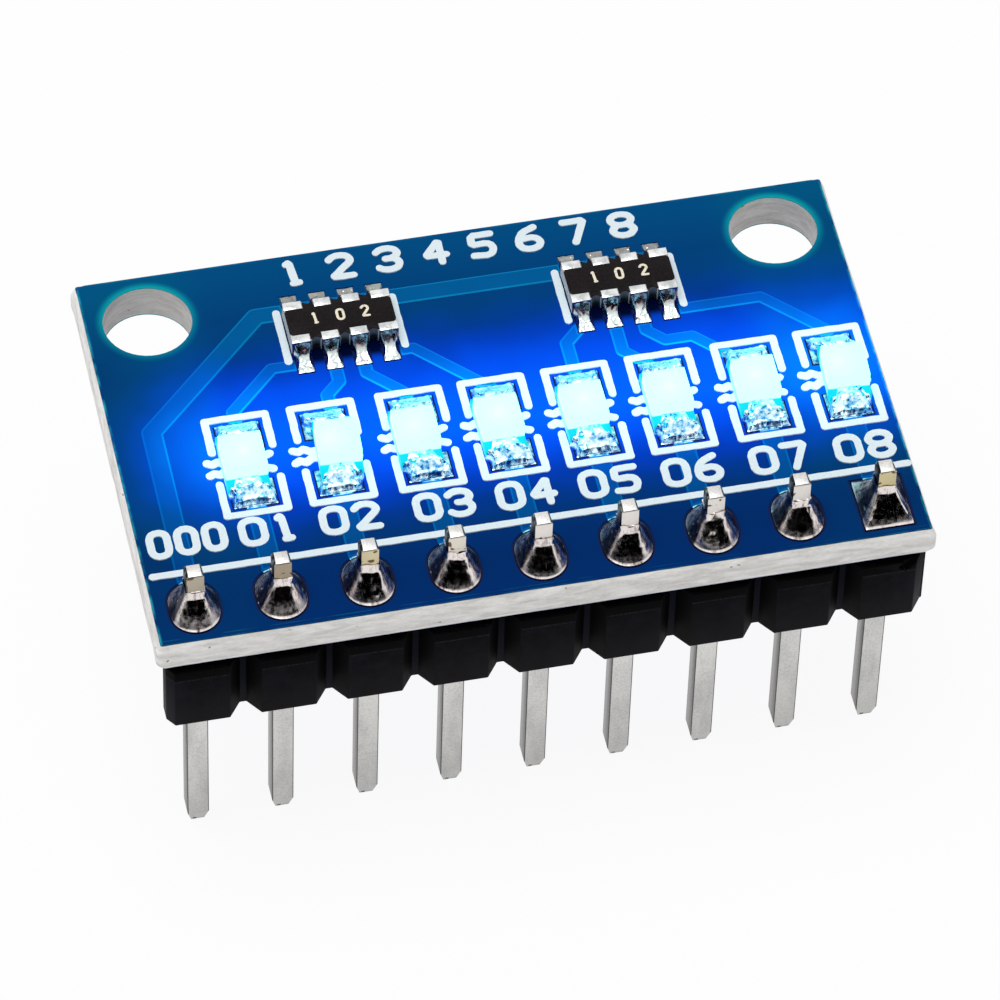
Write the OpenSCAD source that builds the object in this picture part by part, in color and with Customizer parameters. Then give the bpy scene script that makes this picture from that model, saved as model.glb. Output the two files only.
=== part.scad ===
// LED indicator module: eight chip LEDs, two resistor arrays and a nine-pin header.
// The origin is the middle of the pin row, on the header's seating face.
// +Z points up through the board and +Y from the pin row to the mounting holes.

/* [Header] */
// Distance from pin to pin
pitch = 2.54; // [2.4:0.02:3.1]
// Side of a square pin
pin_side = 0.64; // [0.5:0.02:0.7]
// Whole length of a pin
pin_length = 11.4; // [9.5:0.1:14]
// Length of the pin's taper at its lower end
pin_taper = 0.45; // [0.3:0.05:1]
// Side of the pin's lower tip
pin_tip = 0.4; // [0.2:0.02:0.44]
// How far each side of a pin is drawn in at its upper end
pin_slim = 0.06; // [0.02:0.01:0.1]
// Length over which the pin is drawn in, up from the housing
pin_neck = 1.2; // [0.6:0.05:1.3]
// Bevel round the pin's upper end
pin_bevel = 0.07; // [0.03:0.01:0.1]
// How far the pins stand out of the board's top face
pin_above = 1.7; // [1.5:0.05:2.4]
// Height of the plastic housing
housing_h = 2.4; // [2:0.05:3]
// Depth of the housing, across the pin row
housing_d = 2.5; // [2.1:0.05:3]
// Width of a block's flat front face
block_face = 1.61; // [1.3:0.01:1.7]
// Width of the neck between two blocks
neck_w = 0.19; // [0.1:0.01:0.3]
// How far the neck lies behind the front face
neck_in = 0.5; // [0.3:0.05:0.6]
// Stub of the snapped neck at the last pin's end of the strip
stub_l = 0.05; // [0.03:0.01:0.12]
// How far the first block's end was torn away with its neck
break_in = 0.15; // [0.05:0.01:0.25]
// From the housing's front to where that break turns inwards
break_turn = 0.75; // [0.6:0.05:1.2]
// How far the break then runs inwards to the back
break_run = 0.4; // [0.1:0.05:0.5]
// Gap between the housing and the board
housing_gap = 0.15; // [0.1:0.05:0.3]

/* [Board] */
// From an outer pin to the board's side edge
side_inset = 1.19; // [1:0.01:1.5]
// From the pin row to the board's front edge
row_inset = 1.2; // [1.1:0.05:1.6]
// Depth of the board's top face, front to back
board_d = 13.85; // [13.6:0.05:18]
// Thickness over both solder masks
board_t = 1.2; // [0.9:0.05:1.6]
// Thickness of the copper foil
copper_t = 0.035; // [0.03:0.005:0.05]
// How far the snapped middle of a scored edge stands out
score_out = 0.15; // [0.05:0.05:0.3]
// Depth of the score above the snapped middle
score_top = 0.35; // [0.2:0.05:0.4]
// Depth of the score below the snapped middle
score_bottom = 0.4; // [0.2:0.05:0.45]
// How far the bottom face's edge lies inside the top face's
score_under = 0.1; // [0.05:0.05:0.2]
// Radius of the mask's two back corners
mask_corner = 0.3; // [0.1:0.05:0.6]
// Thickness of the mask over a trace
mask_over = 0.025; // [0.01:0.005:0.03]
// Bare laminate left round each pad
mask_margin = 0.05; // [0.03:0.01:0.06]

/* [Mounting holes] */
// Diameter of the two mounting holes
mount_hole_d = 2.65; // [2:0.05:3.2]
// From a hole's centre to the side edge
mount_side_inset = 1.85; // [1.8:0.05:2.4]
// From a hole's centre to the back edge
mount_back_inset = 1.75; // [1.7:0.05:2.4]

/* [Pin joints] */
// Gap between a pin's corners and the plating
drill_clear = 0.03; // [0.02:0.005:0.06]
// Plating on the wall of a drilled hole
plating_t = 0.03; // [0.02:0.005:0.035]
// Width of a pin's land, along the row
land_w = 1.5; // [1.3:0.02:1.8]
// Length of a pin's land, across the row
land_l = 1.9; // [1.8:0.05:2.1]
// Height of the solder that climbs a pin
solder_h = 1.12; // [0.8:0.02:1.3]
// Solder left round the pin at the top of the joint
solder_rim = 0.035; // [0.02:0.005:0.06]
// How hollow the joint's slope is, where 1 is straight
solder_hollow = 1.5; // [1.2:0.1:3]
// How far the joint's foot lies inside its land
solder_inset = 0.03; // [0.01:0.01:0.1]

/* [LEDs] */
// From the pin row to the middle of the LEDs
led_row = 4.92; // [4.9:0.01:5.4]
// How far the LEDs lie beside their pins
led_offset = -0.07; // [-0.2:0.01:0.2]
// How far the chips lie in front of the middle of their pads
led_forward = 0.09; // [0:0.01:0.2]
// Length of an LED chip
led_l = 2; // [1.8:0.05:2.2]
// Width of an LED chip
led_w = 1.25; // [1.1:0.05:1.5]
// Height of an LED chip
led_h = 0.8; // [0.7:0.05:1]
// Thickness of the chip's base board
led_base_h = 0.33; // [0.25:0.01:0.4]
// Bare strip of base between the lens and the metal at each end
lens_gap = 0.01; // [0.01:0.01:0.1]
// How far each end of the lens leans in
lens_lean = 0.05; // [0.02:0.01:0.1]
// Radius of the half-round notch in each end
notch_r = 0.2; // [0.12:0.01:0.22]
// Radius of the metal round the notch
notch_ring_r = 0.3; // [0.24:0.01:0.38]
// Thickness of the metal on a chip
plate_t = 0.02; // [0.01:0.005:0.03]
// Length of the metal under each end of the chip
led_foot_l = 0.35; // [0.25:0.05:0.38]
// Side of the light-emitting die
die_side = 0.26; // [0.2:0.02:0.35]
// Height of the die
die_h = 0.12; // [0.08:0.01:0.15]
// Width of an LED's pads
led_pad_w = 1.3; // [1.2:0.05:1.3]
// From the LED's middle to the outer end of its pads
led_pad_out = 1.57; // [1.4:0.01:1.6]
// From the LED's middle to the inner end of its pads
led_pad_in = 0.6; // [0.5:0.05:0.62]
// Air between the printed legend and a chip above it
chip_gap = 0.01; // [0.005:0.005:0.03]
// Height of the solder on a chip's end
led_solder_h = 0.3; // [0.2:0.01:0.33]

/* [Resistor arrays] */
// From the pin row to the middle of the arrays
array_row = 9.56; // [9.4:0.02:9.9]
// How far the first array lies beside the middle of its four LEDs
array_1_offset = -0.09; // [-0.5:0.01:0.3]
// How far the second array lies beside the middle of its four LEDs
array_2_offset = -1.82; // [-2.2:0.01:-1.5]
// Length of an array
array_l = 3.2; // [3.1:0.05:3.3]
// Depth of an array
array_d = 1.6; // [1.4:0.05:1.8]
// Height of an array
array_h = 0.52; // [0.4:0.02:0.65]
// Distance from terminal to terminal
terminal_pitch = 0.86; // [0.8:0.01:0.9]
// Width of the inner terminals
terminal_w = 0.5; // [0.4:0.02:0.56]
// Length of a terminal on the array's top and bottom
terminal_l = 0.3; // [0.2:0.02:0.35]
// Body left on each side of the recess between two terminals
scallop_side = 0.03; // [0.01:0.01:0.05]
// Bare strip between the dark glaze and the terminals
glaze_gap = 0.01; // [0.01:0.005:0.1]
// Radius of the glaze's corners
glaze_corner = 0.12; // [0.05:0.01:0.2]
// Thickness of the glaze
glaze_t = 0.03; // [0.02:0.005:0.05]
// Width of an array's pads
array_pad_w = 0.45; // [0.35:0.01:0.5]
// From the array's middle to the outer end of its pads
array_pad_out = 1.5; // [1.3:0.02:1.6]
// From the array's middle to the inner end of its pads
array_pad_in = 0.5; // [0.4:0.02:0.56]
// Height of the solder on a terminal
array_solder_h = 0.36; // [0.25:0.01:0.4]

/* [Traces] */
// Width of the common trace
common_w = 0.56; // [0.4:0.01:0.6]
// Width of the traces from the arrays to the LEDs
signal_w = 0.36; // [0.25:0.01:0.4]
// Width of the traces from the LEDs to the pins
drop_w = 0.56; // [0.4:0.01:0.6]
// From the arrays' middle to the common trace behind them
bus_out = 0.91; // [0.8:0.01:1.1]
// From the arrays' middle to the traces that leave them sideways
side_out = 1.17; // [1:0.01:1.3]
// From the arrays' middle to the start of the other traces
start_out = 1.1; // [1:0.01:1.3]
// From the first array's middle to the turn of the common trace
common_turn = 2.36; // [2:0.01:2.6]
// Size of the step in the seventh trace
trace_step = 0.47; // [0.3:0.01:0.6]
// How far a trace runs in over its pad
into_pad = 0.3; // [0.1:0.05:0.4]
// How much wider the mask's ridge is than its trace, each side
ridge_side = 0.03; // [0.02:0.005:0.04]

/* [Legend] */
// Thickness of the printed legend
legend_t = 0.04; // [0.035:0.005:0.045]
// Width of a thick legend line
stroke = 0.23; // [0.2:0.01:0.3]
// Width of the waved lines beside an LED
wave_w = 0.26; // [0.2:0.01:0.28]
// Width of the line behind the pins
rule_w = 0.23; // [0.15:0.01:0.3]
// Gap between the pins' lands and the line behind them
rule_gap = 0.18; // [0.1:0.005:0.3]
// From the board's side to the middle of the line's round end
rule_inset = 0.225; // [0.15:0.005:0.5]
// Gap between an LED's pads and its brackets, at the sides
bracket_side = 0.135; // [0.06:0.005:0.16]
// Gap between an LED's pads and its brackets, at the ends
bracket_end = 0.135; // [0.06:0.005:0.2]
// Gap between an LED's two brackets
bracket_gap = 0.98; // [0.85:0.01:1.1]
// Gap between an array and the bars beside it
bar_gap = 0.035; // [0.01:0.005:0.2]
// Length of the bars beside an array
bar_l = 2.15; // [1.8:0.05:2.6]
// How far the bars lie in front of the array's middle
bar_forward = 0.06; // [-0.1:0.01:0.1]

/* [Hidden] */
PINS = 9;
LEDS = PINS - 1;
ARRAYS = 2;
TERMINALS = 4;

$fn = 48;
// How far a cutting tool runs past the face it cuts
over = 0.5;

// Levels, from the seating face up
board_z = housing_h + housing_gap;
top_z = board_z + board_t;
laminate_z = board_z + copper_t;
laminate_top = top_z - copper_t;
pin_top = top_z + pin_above;
pin_bottom = pin_top - pin_length;
solder_under = legend_t + chip_gap;
chip_z = top_z + solder_under;

// Outlines
row_l = (PINS - 1) * pitch;
board_w = row_l + 2 * side_inset;
board_front = -row_inset;
board_back = board_d - row_inset;
mount_x = board_w / 2 - mount_side_inset;
mount_y = board_back - mount_back_inset;
bore_r = pin_side * sqrt(2) / 2 + drill_clear;
barrel_r = bore_r + plating_t;

// Places of what repeats
function pin_x(i) = (i - (PINS + 1) / 2) * pitch;
function led_mid(i) = pin_x(i + 1) + led_offset;
function led_x(i) = led_mid(i) + led_place[i - 1];
function array_x(k) = k == 1 ? led_mid(2.5) + array_1_offset : led_mid(6.5) + array_2_offset;
function terminal_x(t) = (t - (TERMINALS + 1) / 2) * terminal_pitch;

// How far each LED's pads and printed lines lie beside that
led_place = [0, 0, 0.1, 0.02, 0, -0.02, 0.03, 0];
// How each LED came to lie on its pads after soldering: sideways shift and turn
led_shift = [-0.12, 0.16, -0.18, -0.16, -0.15, -0.14, -0.09, 0.1];
led_turn = [0, -3, 0, 1, 0.5, 0, -1, -3];

// A path of straight strokes with round corners and ends
module path(points, width) {
    for (p = points) translate(p) circle(d = width);
    for (k = [0:len(points) - 2]) {
        run = points[k + 1] - points[k];
        translate(points[k]) rotate(atan2(run.y, run.x))
            translate([0, -width / 2]) square([norm(run), width]);
    }
}

// A rectangle about the origin with round ends along Y
module obround(width, length) {
    square([width, length - width], center = true);
    for (s = [-1, 1]) translate([0, s * (length - width) / 2]) circle(d = width);
}

module mount_holes() {
    for (s = [-1, 1]) translate([s * mount_x, mount_y]) circle(d = mount_hole_d);
}

// The board: a snapped rectangle, scored along all four edges from both faces
function score_profile(front, back) = [
    [front + score_under, board_z],
    [front - score_out, board_z + score_bottom],
    [front - score_out, top_z - score_top],
    [front, top_z],
    [back, top_z],
    [back + score_out, top_z - score_top],
    [back + score_out, board_z + score_bottom],
    [back - score_under, board_z]
];

module scored_block() {
    reach = board_w + board_d;
    intersection() {
        rotate([90, 0, 0]) linear_extrude(reach * 2, center = true)
            polygon(score_profile(-board_w / 2, board_w / 2));
        rotate([90, 0, 90]) linear_extrude(reach * 2, center = true)
            polygon(score_profile(board_front, board_back));
        translate([-reach, -reach, laminate_z])
            cube([2 * reach, 2 * reach, laminate_top - laminate_z]);
    }
}

module board() {
    color("whitesmoke") difference() {
        scored_block();
        translate([0, 0, board_z - over]) linear_extrude(board_t + 2 * over) {
            mount_holes();
            for (i = [1:PINS]) translate([pin_x(i), 0]) circle(r = barrel_r);
        }
    }
}

// Copper lands: the last pin's is square-cornered, the others have round ends
module land(i, grow = 0) {
    translate([pin_x(i), 0])
        if (i == PINS) square([land_w + 2 * grow, land_l + 2 * grow], center = true);
        else obround(land_w + 2 * grow, land_l + 2 * grow);
}

module lands(grow = 0) {
    for (i = [1:PINS]) land(i, grow);
}

module pad(width, inner, outer, grow = 0) {
    translate([-width / 2 - grow, inner - grow])
        square([width + 2 * grow, outer - inner + 2 * grow]);
}

module led_pad(i, side, grow = 0) {
    translate([led_x(i), led_row]) mirror([0, side < 0 ? 1 : 0])
        pad(led_pad_w, led_pad_in, led_pad_out, grow);
}

module array_pad(k, t, side, grow = 0) {
    translate([array_x(k) + terminal_x(t), array_row]) mirror([0, side < 0 ? 1 : 0])
        pad(array_pad_w, array_pad_in, array_pad_out, grow);
}

module chip_pads(grow = 0) {
    for (i = [1:LEDS]) for (side = [-1, 1]) led_pad(i, side, grow);
    for (k = [1:ARRAYS]) for (t = [1:TERMINALS]) for (side = [-1, 1]) array_pad(k, t, side, grow);
}

// Where the traces run behind the arrays, leave them sideways, start, and reach the LEDs' pads
bus_y = array_row + bus_out;
side_y = array_row - side_out;
start_y = array_row - start_out;
led_top_y = led_row + led_pad_out;

// How each LED's trace comes down from its array: "side" leaves the terminal sideways, "down" and
// "step" leave it straight, and "step" then runs level. The first number is the slant's height, or
// the turn's height over the LED's pads. The second is how far beside the LED's middle it ends.
signals = [
    ["side", 1.43, 0], ["down", 1.05, 0.3], ["down", 1.21, -0.08], ["side", 1.96, 0],
    ["down", 1.92, 0], ["down", 0.61, -0.36], ["step", 0.79, -0.46], ["side", 1.58, 0]
];

function array_led_x(i) = array_x(i <= TERMINALS ? 1 : 2) + terminal_x((i - 1) % TERMINALS + 1);

function side_path(x0, x1, drop) = let (s = sign(x1 - x0)) [
    [x0, side_y],
    [x1 - s * min(drop, abs(x1 - x0)), side_y],
    [x1, side_y - drop],
    [x1, led_top_y - into_pad]
];

function down_path(x0, x1, turn) = [
    [x0, start_y],
    [x0, led_top_y + turn],
    [x1, led_top_y + turn - abs(x1 - x0)],
    [x1, led_top_y - into_pad]
];

function step_path(x0, x1, turn) = let (slant = turn + into_pad / 2) [
    [x0, start_y],
    [x0, led_top_y + turn + trace_step],
    [x0 + trace_step, led_top_y + turn],
    [x1 - slant, led_top_y + turn],
    [x1, led_top_y + turn - slant]
];

function signal_path(i) = let (
    form = signals[i - 1][0],
    size = signals[i - 1][1],
    x0 = array_led_x(i),
    x1 = led_x(i) + signals[i - 1][2]
) form == "side" ? side_path(x0, x1, size) :
    form == "down" ? down_path(x0, x1, size) :
    step_path(x0, x1, size);

// From the second array's far terminal, behind both arrays, down the side to the first pin
function common_path() = let (turn_x = array_x(1) - common_turn) [
    [array_x(2) + terminal_x(TERMINALS), bus_y],
    [turn_x, bus_y],
    [pin_x(1), bus_y - (turn_x - pin_x(1))],
    [pin_x(1), 0]
];

module traces(grow = 0) {
    path(common_path(), common_w + 2 * grow);
    for (i = [1:LEDS]) {
        path(signal_path(i), signal_w + 2 * grow);
        path([[led_x(i), led_row - led_pad_in - into_pad], [led_x(i), 0]], drop_w + 2 * grow);
    }
}

module top_copper() {
    color("peru") translate([0, 0, laminate_top]) linear_extrude(copper_t) difference() {
        union() {
            traces();
            chip_pads();
        }
        lands();
    }
}

// Plated holes: a land on each face and the barrel between them
module pin_lands() {
    color("silver") for (i = [1:PINS]) difference() {
        union() {
            for (z = [board_z, laminate_top]) translate([0, 0, z]) linear_extrude(copper_t) land(i);
            translate([pin_x(i), 0, board_z]) cylinder(h = board_t, r = barrel_r);
        }
        translate([pin_x(i), 0, board_z - over]) cylinder(h = board_t + 2 * over, r = bore_r);
    }
}

// Solder masks. The top one rises in a ridge over each trace.
module mask_face(edge) {
    front = board_front + edge;
    back = board_back - edge;
    half = board_w / 2 - edge;
    translate([-half, front]) square([2 * half, back - front - mask_corner]);
    translate([-half + mask_corner, front]) square([2 * (half - mask_corner), back - front]);
    for (s = [-1, 1]) translate([s * (half - mask_corner), back - mask_corner]) circle(mask_corner);
}

module mask_openings() {
    chip_pads(mask_margin);
    lands(mask_margin);
    mount_holes();
}

module ridges() {
    difference() {
        intersection() {
            traces(ridge_side);
            mask_face(0);
        }
        mask_openings();
    }
}

module top_solder_mask() {
    color("royalblue") {
        translate([0, 0, laminate_top]) linear_extrude(copper_t) difference() {
            mask_face(0);
            mask_openings();
            traces();
        }
        translate([0, 0, top_z]) linear_extrude(mask_over) ridges();
    }
}

module bottom_solder_mask() {
    color("mediumblue") translate([0, 0, board_z]) linear_extrude(copper_t) difference() {
        mask_face(score_under);
        lands(mask_margin);
        mount_holes();
    }
}

// Printed legend: brackets and waved lines round each LED, bars beside the arrays, and a line
// behind the pins. A waved line is drawn over the LED's middle and again mirrored in front of it.
bracket_x = led_pad_w / 2 + bracket_side + stroke / 2;
bracket_y = led_pad_out + bracket_end + stroke / 2;
bar_out = array_l / 2 + bar_gap + stroke / 2;
rule_row = land_l / 2 + mask_margin + rule_gap + rule_w / 2;
wave = [[-1.11, 0.21], [-0.8, 0.21], [-0.55, 0.17], [0.45, 0.19], [0.72, 0.27]];

module bracket() {
    leg = (bracket_gap + stroke) / 2;
    path([[-bracket_x, leg], [-bracket_x, bracket_y], [bracket_x, bracket_y], [bracket_x, leg]], stroke);
}

module bar(k, side) {
    half = (bar_l - stroke) / 2;
    translate([array_x(k) + side * bar_out, array_row - bar_forward])
        path([[0, -half], [0, half]], stroke);
}

module legend_shapes() {
    for (i = [1:LEDS]) for (side = [0, 1]) translate([led_x(i), led_row]) mirror([0, side]) {
        bracket();
        path(wave, wave_w);
    }
    for (k = [1:ARRAYS]) for (side = [-1, 1]) bar(k, side);
    path([[-board_w / 2 + rule_inset, rule_row], [board_w / 2 - rule_w / 2, rule_row]], rule_w);
}

module legend() {
    color("white") translate([0, 0, top_z]) {
        linear_extrude(mask_over) difference() {
            legend_shapes();
            ridges();
        }
        translate([0, 0, mask_over]) linear_extrude(legend_t - mask_over) legend_shapes();
    }
}

// Header housing: nine blocks joined by necks. The strip was snapped at both ends: a stub of its neck
// stays at the last block, and the first block lost part of its end with it.
block_side = (pitch - neck_w) / 2;

module housing_outline() {
    front = housing_d / 2;
    neck = front - neck_in;
    face = block_face / 2;
    for (i = [1:PINS]) translate([pin_x(i), 0]) polygon([
        [-face, -front], [face, -front], [block_side, -neck], [block_side, neck],
        [face, front], [-face, front], [-block_side, neck], [-block_side, -neck]
    ]);
    translate([-row_l / 2, -neck]) square([row_l + block_side + stub_l, 2 * neck]);
}

// What broke away from the first block's end
module broken_end() {
    x = -row_l / 2 - block_side;
    front = housing_d / 2;
    polygon([
        [x - over, -front - over], [x + break_in, -front - over], [x + break_in, -front + break_turn],
        [x + break_in + break_run, front], [x + break_in + break_run, front + over], [x - over, front + over]
    ]);
}

// The piece torn out of the last block's upper front corner when the strip was snapped:
// its middle beside that corner, its size and its turn
tear_in = [0.12, 0.06];
tear_size = [0.3, 0.34, 0.9];
tear_turn = [18, 38, 24];

module tear() {
    translate([row_l / 2 + block_face / 2 - tear_in.x, -housing_d / 2 - tear_in.y, housing_h])
        rotate(tear_turn) cube(tear_size, center = true);
}

module header_housing() {
    color([0.12, 0.12, 0.14]) difference() {
        linear_extrude(housing_h) difference() {
            housing_outline();
            broken_end();
        }
        for (i = [1:PINS]) translate([pin_x(i), 0, housing_h / 2])
            cube([pin_side, pin_side, housing_h + 2 * over], center = true);
        tear();
    }
}

// A square pin, tapered below, drawn in above the housing and bevelled at its top, as two crossed
// profiles: half of the profile, from the bottom up, and its mirror image
pin_head = pin_side / 2 - pin_slim;
pin_half = [
    [pin_tip / 2, pin_bottom], [pin_side / 2, pin_bottom + pin_taper],
    [pin_side / 2, housing_h], [pin_head, housing_h + pin_neck],
    [pin_head, pin_top - 2 * pin_bevel], [pin_head - pin_bevel, pin_top]
];
pin_profile = concat(pin_half, [for (k = [len(pin_half) - 1:-1:0]) [-pin_half[k].x, pin_half[k].y]]);

module pin_shape() {
    intersection() {
        rotate([90, 0, 0]) linear_extrude(pin_side, center = true) polygon(pin_profile);
        rotate([90, 0, 90]) linear_extrude(pin_side, center = true) polygon(pin_profile);
    }
}

module pin(i) {
    color("lightgray") translate([pin_x(i), 0, 0]) pin_shape();
}

// How far an outline reaches from its middle in direction a: a box, and a box with round ends
function box_reach(a, x, y) = min(x / max(abs(cos(a)), 0.001), y / max(abs(sin(a)), 0.001));
function round_reach(a, x, y) = let (d = y - x, side = x / max(abs(cos(a)), 0.001))
    side * abs(sin(a)) <= d ? side : d * abs(sin(a)) + sqrt(x * x - pow(d * cos(a), 2));

// A pin's solder: rings that shrink from the land's outline to the pin's, in a hollow slope
joint_sides = 40;
joint_rings = 8;

function joint_ring(i, k) = let (
    s = k / joint_rings,
    w = pow(1 - s, solder_hollow),
    half = pin_head + solder_rim,
    x = land_w / 2 - solder_inset,
    y = land_l / 2 - solder_inset
) [for (n = [0:joint_sides - 1]) let (
    a = (n + 0.5) * 360 / joint_sides,
    foot = i == PINS ? box_reach(a, x, y) : round_reach(a, x, y),
    r = box_reach(a, half, half) * (1 - w) + foot * w
) [r * cos(a), r * sin(a), top_z + solder_h * s]];

module joint_slope(i) {
    n = joint_sides;
    foot_mid = (joint_rings + 1) * n;
    head_mid = foot_mid + 1;
    head = joint_rings * n;
    polyhedron(
        points = concat(
            [for (k = [0:joint_rings]) for (p = joint_ring(i, k)) p],
            [[0, 0, top_z], [0, 0, top_z + solder_h]]
        ),
        faces = concat(
            [for (j = [0:n - 1]) [foot_mid, j, (j + 1) % n]],
            [for (k = [0:joint_rings - 1]) for (j = [0:n - 1])
                [k * n + j, (k + 1) * n + j, (k + 1) * n + (j + 1) % n]],
            [for (k = [0:joint_rings - 1]) for (j = [0:n - 1])
                [k * n + j, (k + 1) * n + (j + 1) % n, k * n + (j + 1) % n]],
            [for (j = [0:n - 1]) [head_mid, head + (j + 1) % n, head + j]]
        )
    );
}

module pin_solder(i) {
    color("gainsboro") translate([pin_x(i), 0, 0]) difference() {
        union() {
            joint_slope(i);
            translate([0, 0, board_z]) cylinder(h = board_t, r = bore_r);
        }
        pin_shape();
    }
}

// LED chips: children are placed on chip i as it lies
module on_led(i) {
    translate([led_x(i) + led_shift[i - 1], led_row - led_forward, chip_z])
        rotate(led_turn[i - 1]) children();
}

module notches(r, h) {
    for (s = [-1, 1]) translate([0, s * led_l / 2, -over]) cylinder(h = h + 2 * over, r = r);
}

module slab(width, length, height) {
    translate([-width / 2, -length / 2, 0]) cube([width, length, height]);
}

module led_base(i) {
    color("ivory") on_led(i) difference() {
        translate([0, 0, plate_t]) slab(led_w, led_l, led_base_h - plate_t);
        notches(notch_r, led_base_h);
    }
}

// Half-round metal at both ends: a ring above, a lined notch and a foot below
module led_terminals(i) {
    color("silver") on_led(i) intersection() {
        slab(led_w, led_l, led_base_h + plate_t);
        difference() {
            for (s = [-1, 1]) translate([0, s * led_l / 2, 0]) {
                translate([0, 0, led_base_h]) cylinder(h = plate_t, r = notch_ring_r);
                cylinder(h = led_base_h, r = notch_r);
                translate([0, 0, plate_t / 2]) cube([led_w, 2 * led_foot_l, plate_t], center = true);
            }
            notches(notch_r - plate_t, led_h);
        }
    }
}

module led_lens(i) {
    lens_h = led_h - led_base_h;
    foot = led_l / 2 - notch_ring_r - lens_gap;
    color([0.6, 0.95, 1]) on_led(i) translate([0, 0, led_base_h]) difference() {
        rotate([90, 0, 90]) linear_extrude(led_w, center = true)
            polygon([[-foot, 0], [foot, 0], [foot - lens_lean, lens_h], [-foot + lens_lean, lens_h]]);
        slab(die_side, die_side, die_h);
    }
}

module led_dies() {
    color("gold") for (i = [1:LEDS]) on_led(i)
        translate([0, 0, led_base_h]) slab(die_side, die_side, die_h);
}

// Solder on a chip's end: seen from the side a hollow slope from the metal down to the pad's
// outer end, and seen from the front a crown that is lower at its sides
fillet_steps = 6;
fillet_lip = 0.02;
crown_steps = 8;
crown_side = 0.25;
crown_over = 0.1;

function slope(face, outer, h) = [for (k = [1:fillet_steps]) let (u = k / fillet_steps)
    [face + (outer - face) * u, h * pow(1 - u, 2) + fillet_lip * (1 - u)]
];

function crown(width, h) = [for (k = [0:crown_steps]) let (a = 180 * k / crown_steps)
    [width / 2 * cos(a), h * (crown_side + (1 - crown_side) * sin(a))]
];

module fillet(width, inner, face, outer, h) {
    intersection() {
        rotate([90, 0, 90]) linear_extrude(width, center = true)
            polygon(concat([[outer, 0], [inner, 0], [inner, h], [face, h]], slope(face, outer, h)));
        rotate([90, 0, 0]) linear_extrude(2 * (outer + over), center = true)
            polygon(concat([[-width / 2, 0], [width / 2, 0]], crown(width, h + crown_over)));
    }
}

// A chip as a cutting tool, with its notches left open
module led_envelope() {
    difference() {
        slab(led_w, led_l, led_h);
        notches(notch_r - plate_t, led_h);
    }
}

module led_solder() {
    foot = led_l / 2 - led_foot_l;
    color("gainsboro") for (i = [1:LEDS]) for (side = [-1, 1]) difference() {
        intersection() {
            translate([0, 0, top_z]) linear_extrude(led_h) led_pad(i, side);
            translate([0, 0, -solder_under]) on_led(i) mirror([0, side < 0 ? 1 : 0, 0])
                fillet(led_pad_w, foot, led_l / 2, led_pad_out + side * led_forward,
                    solder_under + led_solder_h);
        }
        on_led(i) led_envelope();
    }
}

// Resistor arrays: children are placed on array k
module on_array(k) {
    translate([array_x(k), array_row, chip_z]) children();
}

scallop_r = (terminal_pitch - terminal_w) / 2 - scallop_side;
glaze_d = array_d - 2 * (terminal_l + glaze_gap);

// A terminal seen from above. The outer ones reach the array's ends.
module terminal_span(t) {
    x0 = t == 1 ? -array_l / 2 : terminal_x(t) - terminal_w / 2;
    x1 = t == TERMINALS ? array_l / 2 : terminal_x(t) + terminal_w / 2;
    translate([x0, array_d / 2 - terminal_l]) square([x1 - x0, terminal_l]);
}

module array_core() {
    translate([0, 0, plate_t]) slab(array_l, array_d - 2 * plate_t, array_h - 2 * plate_t);
}

// The recesses between the terminals, seen from above
module scallops() {
    for (g = [-1, 0, 1]) for (s = [-1, 1]) translate([g * terminal_pitch, s * array_d / 2])
        circle(scallop_r);
}

module array_body(k) {
    color("white") on_array(k) difference() {
        array_core();
        translate([0, 0, -over]) linear_extrude(array_h + 2 * over) scallops();
    }
}

// The dark glaze, which also runs out between the terminals
module array_glaze(k) {
    x = array_l / 2 - glaze_corner;
    y = glaze_d / 2 - glaze_corner;
    tongue = [terminal_pitch - terminal_w - 2 * glaze_gap, array_d - scallop_r];
    color([0.1, 0.1, 0.1]) on_array(k) translate([0, 0, array_h - plate_t])
        linear_extrude(glaze_t) difference() {
            union() {
                square([2 * x, glaze_d], center = true);
                square([array_l, 2 * y], center = true);
                for (sx = [-1, 1]) for (sy = [-1, 1]) translate([sx * x, sy * y]) circle(glaze_corner);
                for (g = [-1, 0, 1]) translate([g * terminal_pitch, 0]) square(tongue, center = true);
            }
            scallops();
        }
}

module array_terminals(k) {
    color("silver") on_array(k) difference() {
        for (t = [1:TERMINALS]) for (side = [-1, 1]) mirror([0, side < 0 ? 1 : 0, 0])
            linear_extrude(array_h) terminal_span(t);
        array_core();
    }
}

module array_solder(k) {
    foot = array_d / 2 - terminal_l;
    h = solder_under + array_solder_h;
    color("gainsboro") for (t = [1:TERMINALS]) for (side = [-1, 1]) difference() {
        intersection() {
            translate([0, 0, top_z]) linear_extrude(array_h) array_pad(k, t, side);
            translate([terminal_x(t), 0, -solder_under]) on_array(k) mirror([0, side < 0 ? 1 : 0, 0])
                fillet(array_pad_w, foot, array_d / 2, array_pad_out, h);
        }
        on_array(k) slab(array_l, array_d, array_h);
    }
}

board();
top_solder_mask();
bottom_solder_mask();
legend();
top_copper();
pin_lands();
header_housing();
for (i = [1:PINS]) pin(i);
for (i = [1:PINS]) pin_solder(i);
for (i = [1:LEDS]) led_base(i);
for (i = [1:LEDS]) led_terminals(i);
for (i = [1:LEDS]) led_lens(i);
led_dies();
led_solder();
for (k = [1:ARRAYS]) array_body(k);
for (k = [1:ARRAYS]) array_glaze(k);
for (k = [1:ARRAYS]) array_terminals(k);
for (k = [1:ARRAYS]) array_solder(k);
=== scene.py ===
"""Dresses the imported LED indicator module: board, mask, print, header, solder, chips and stage."""

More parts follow.
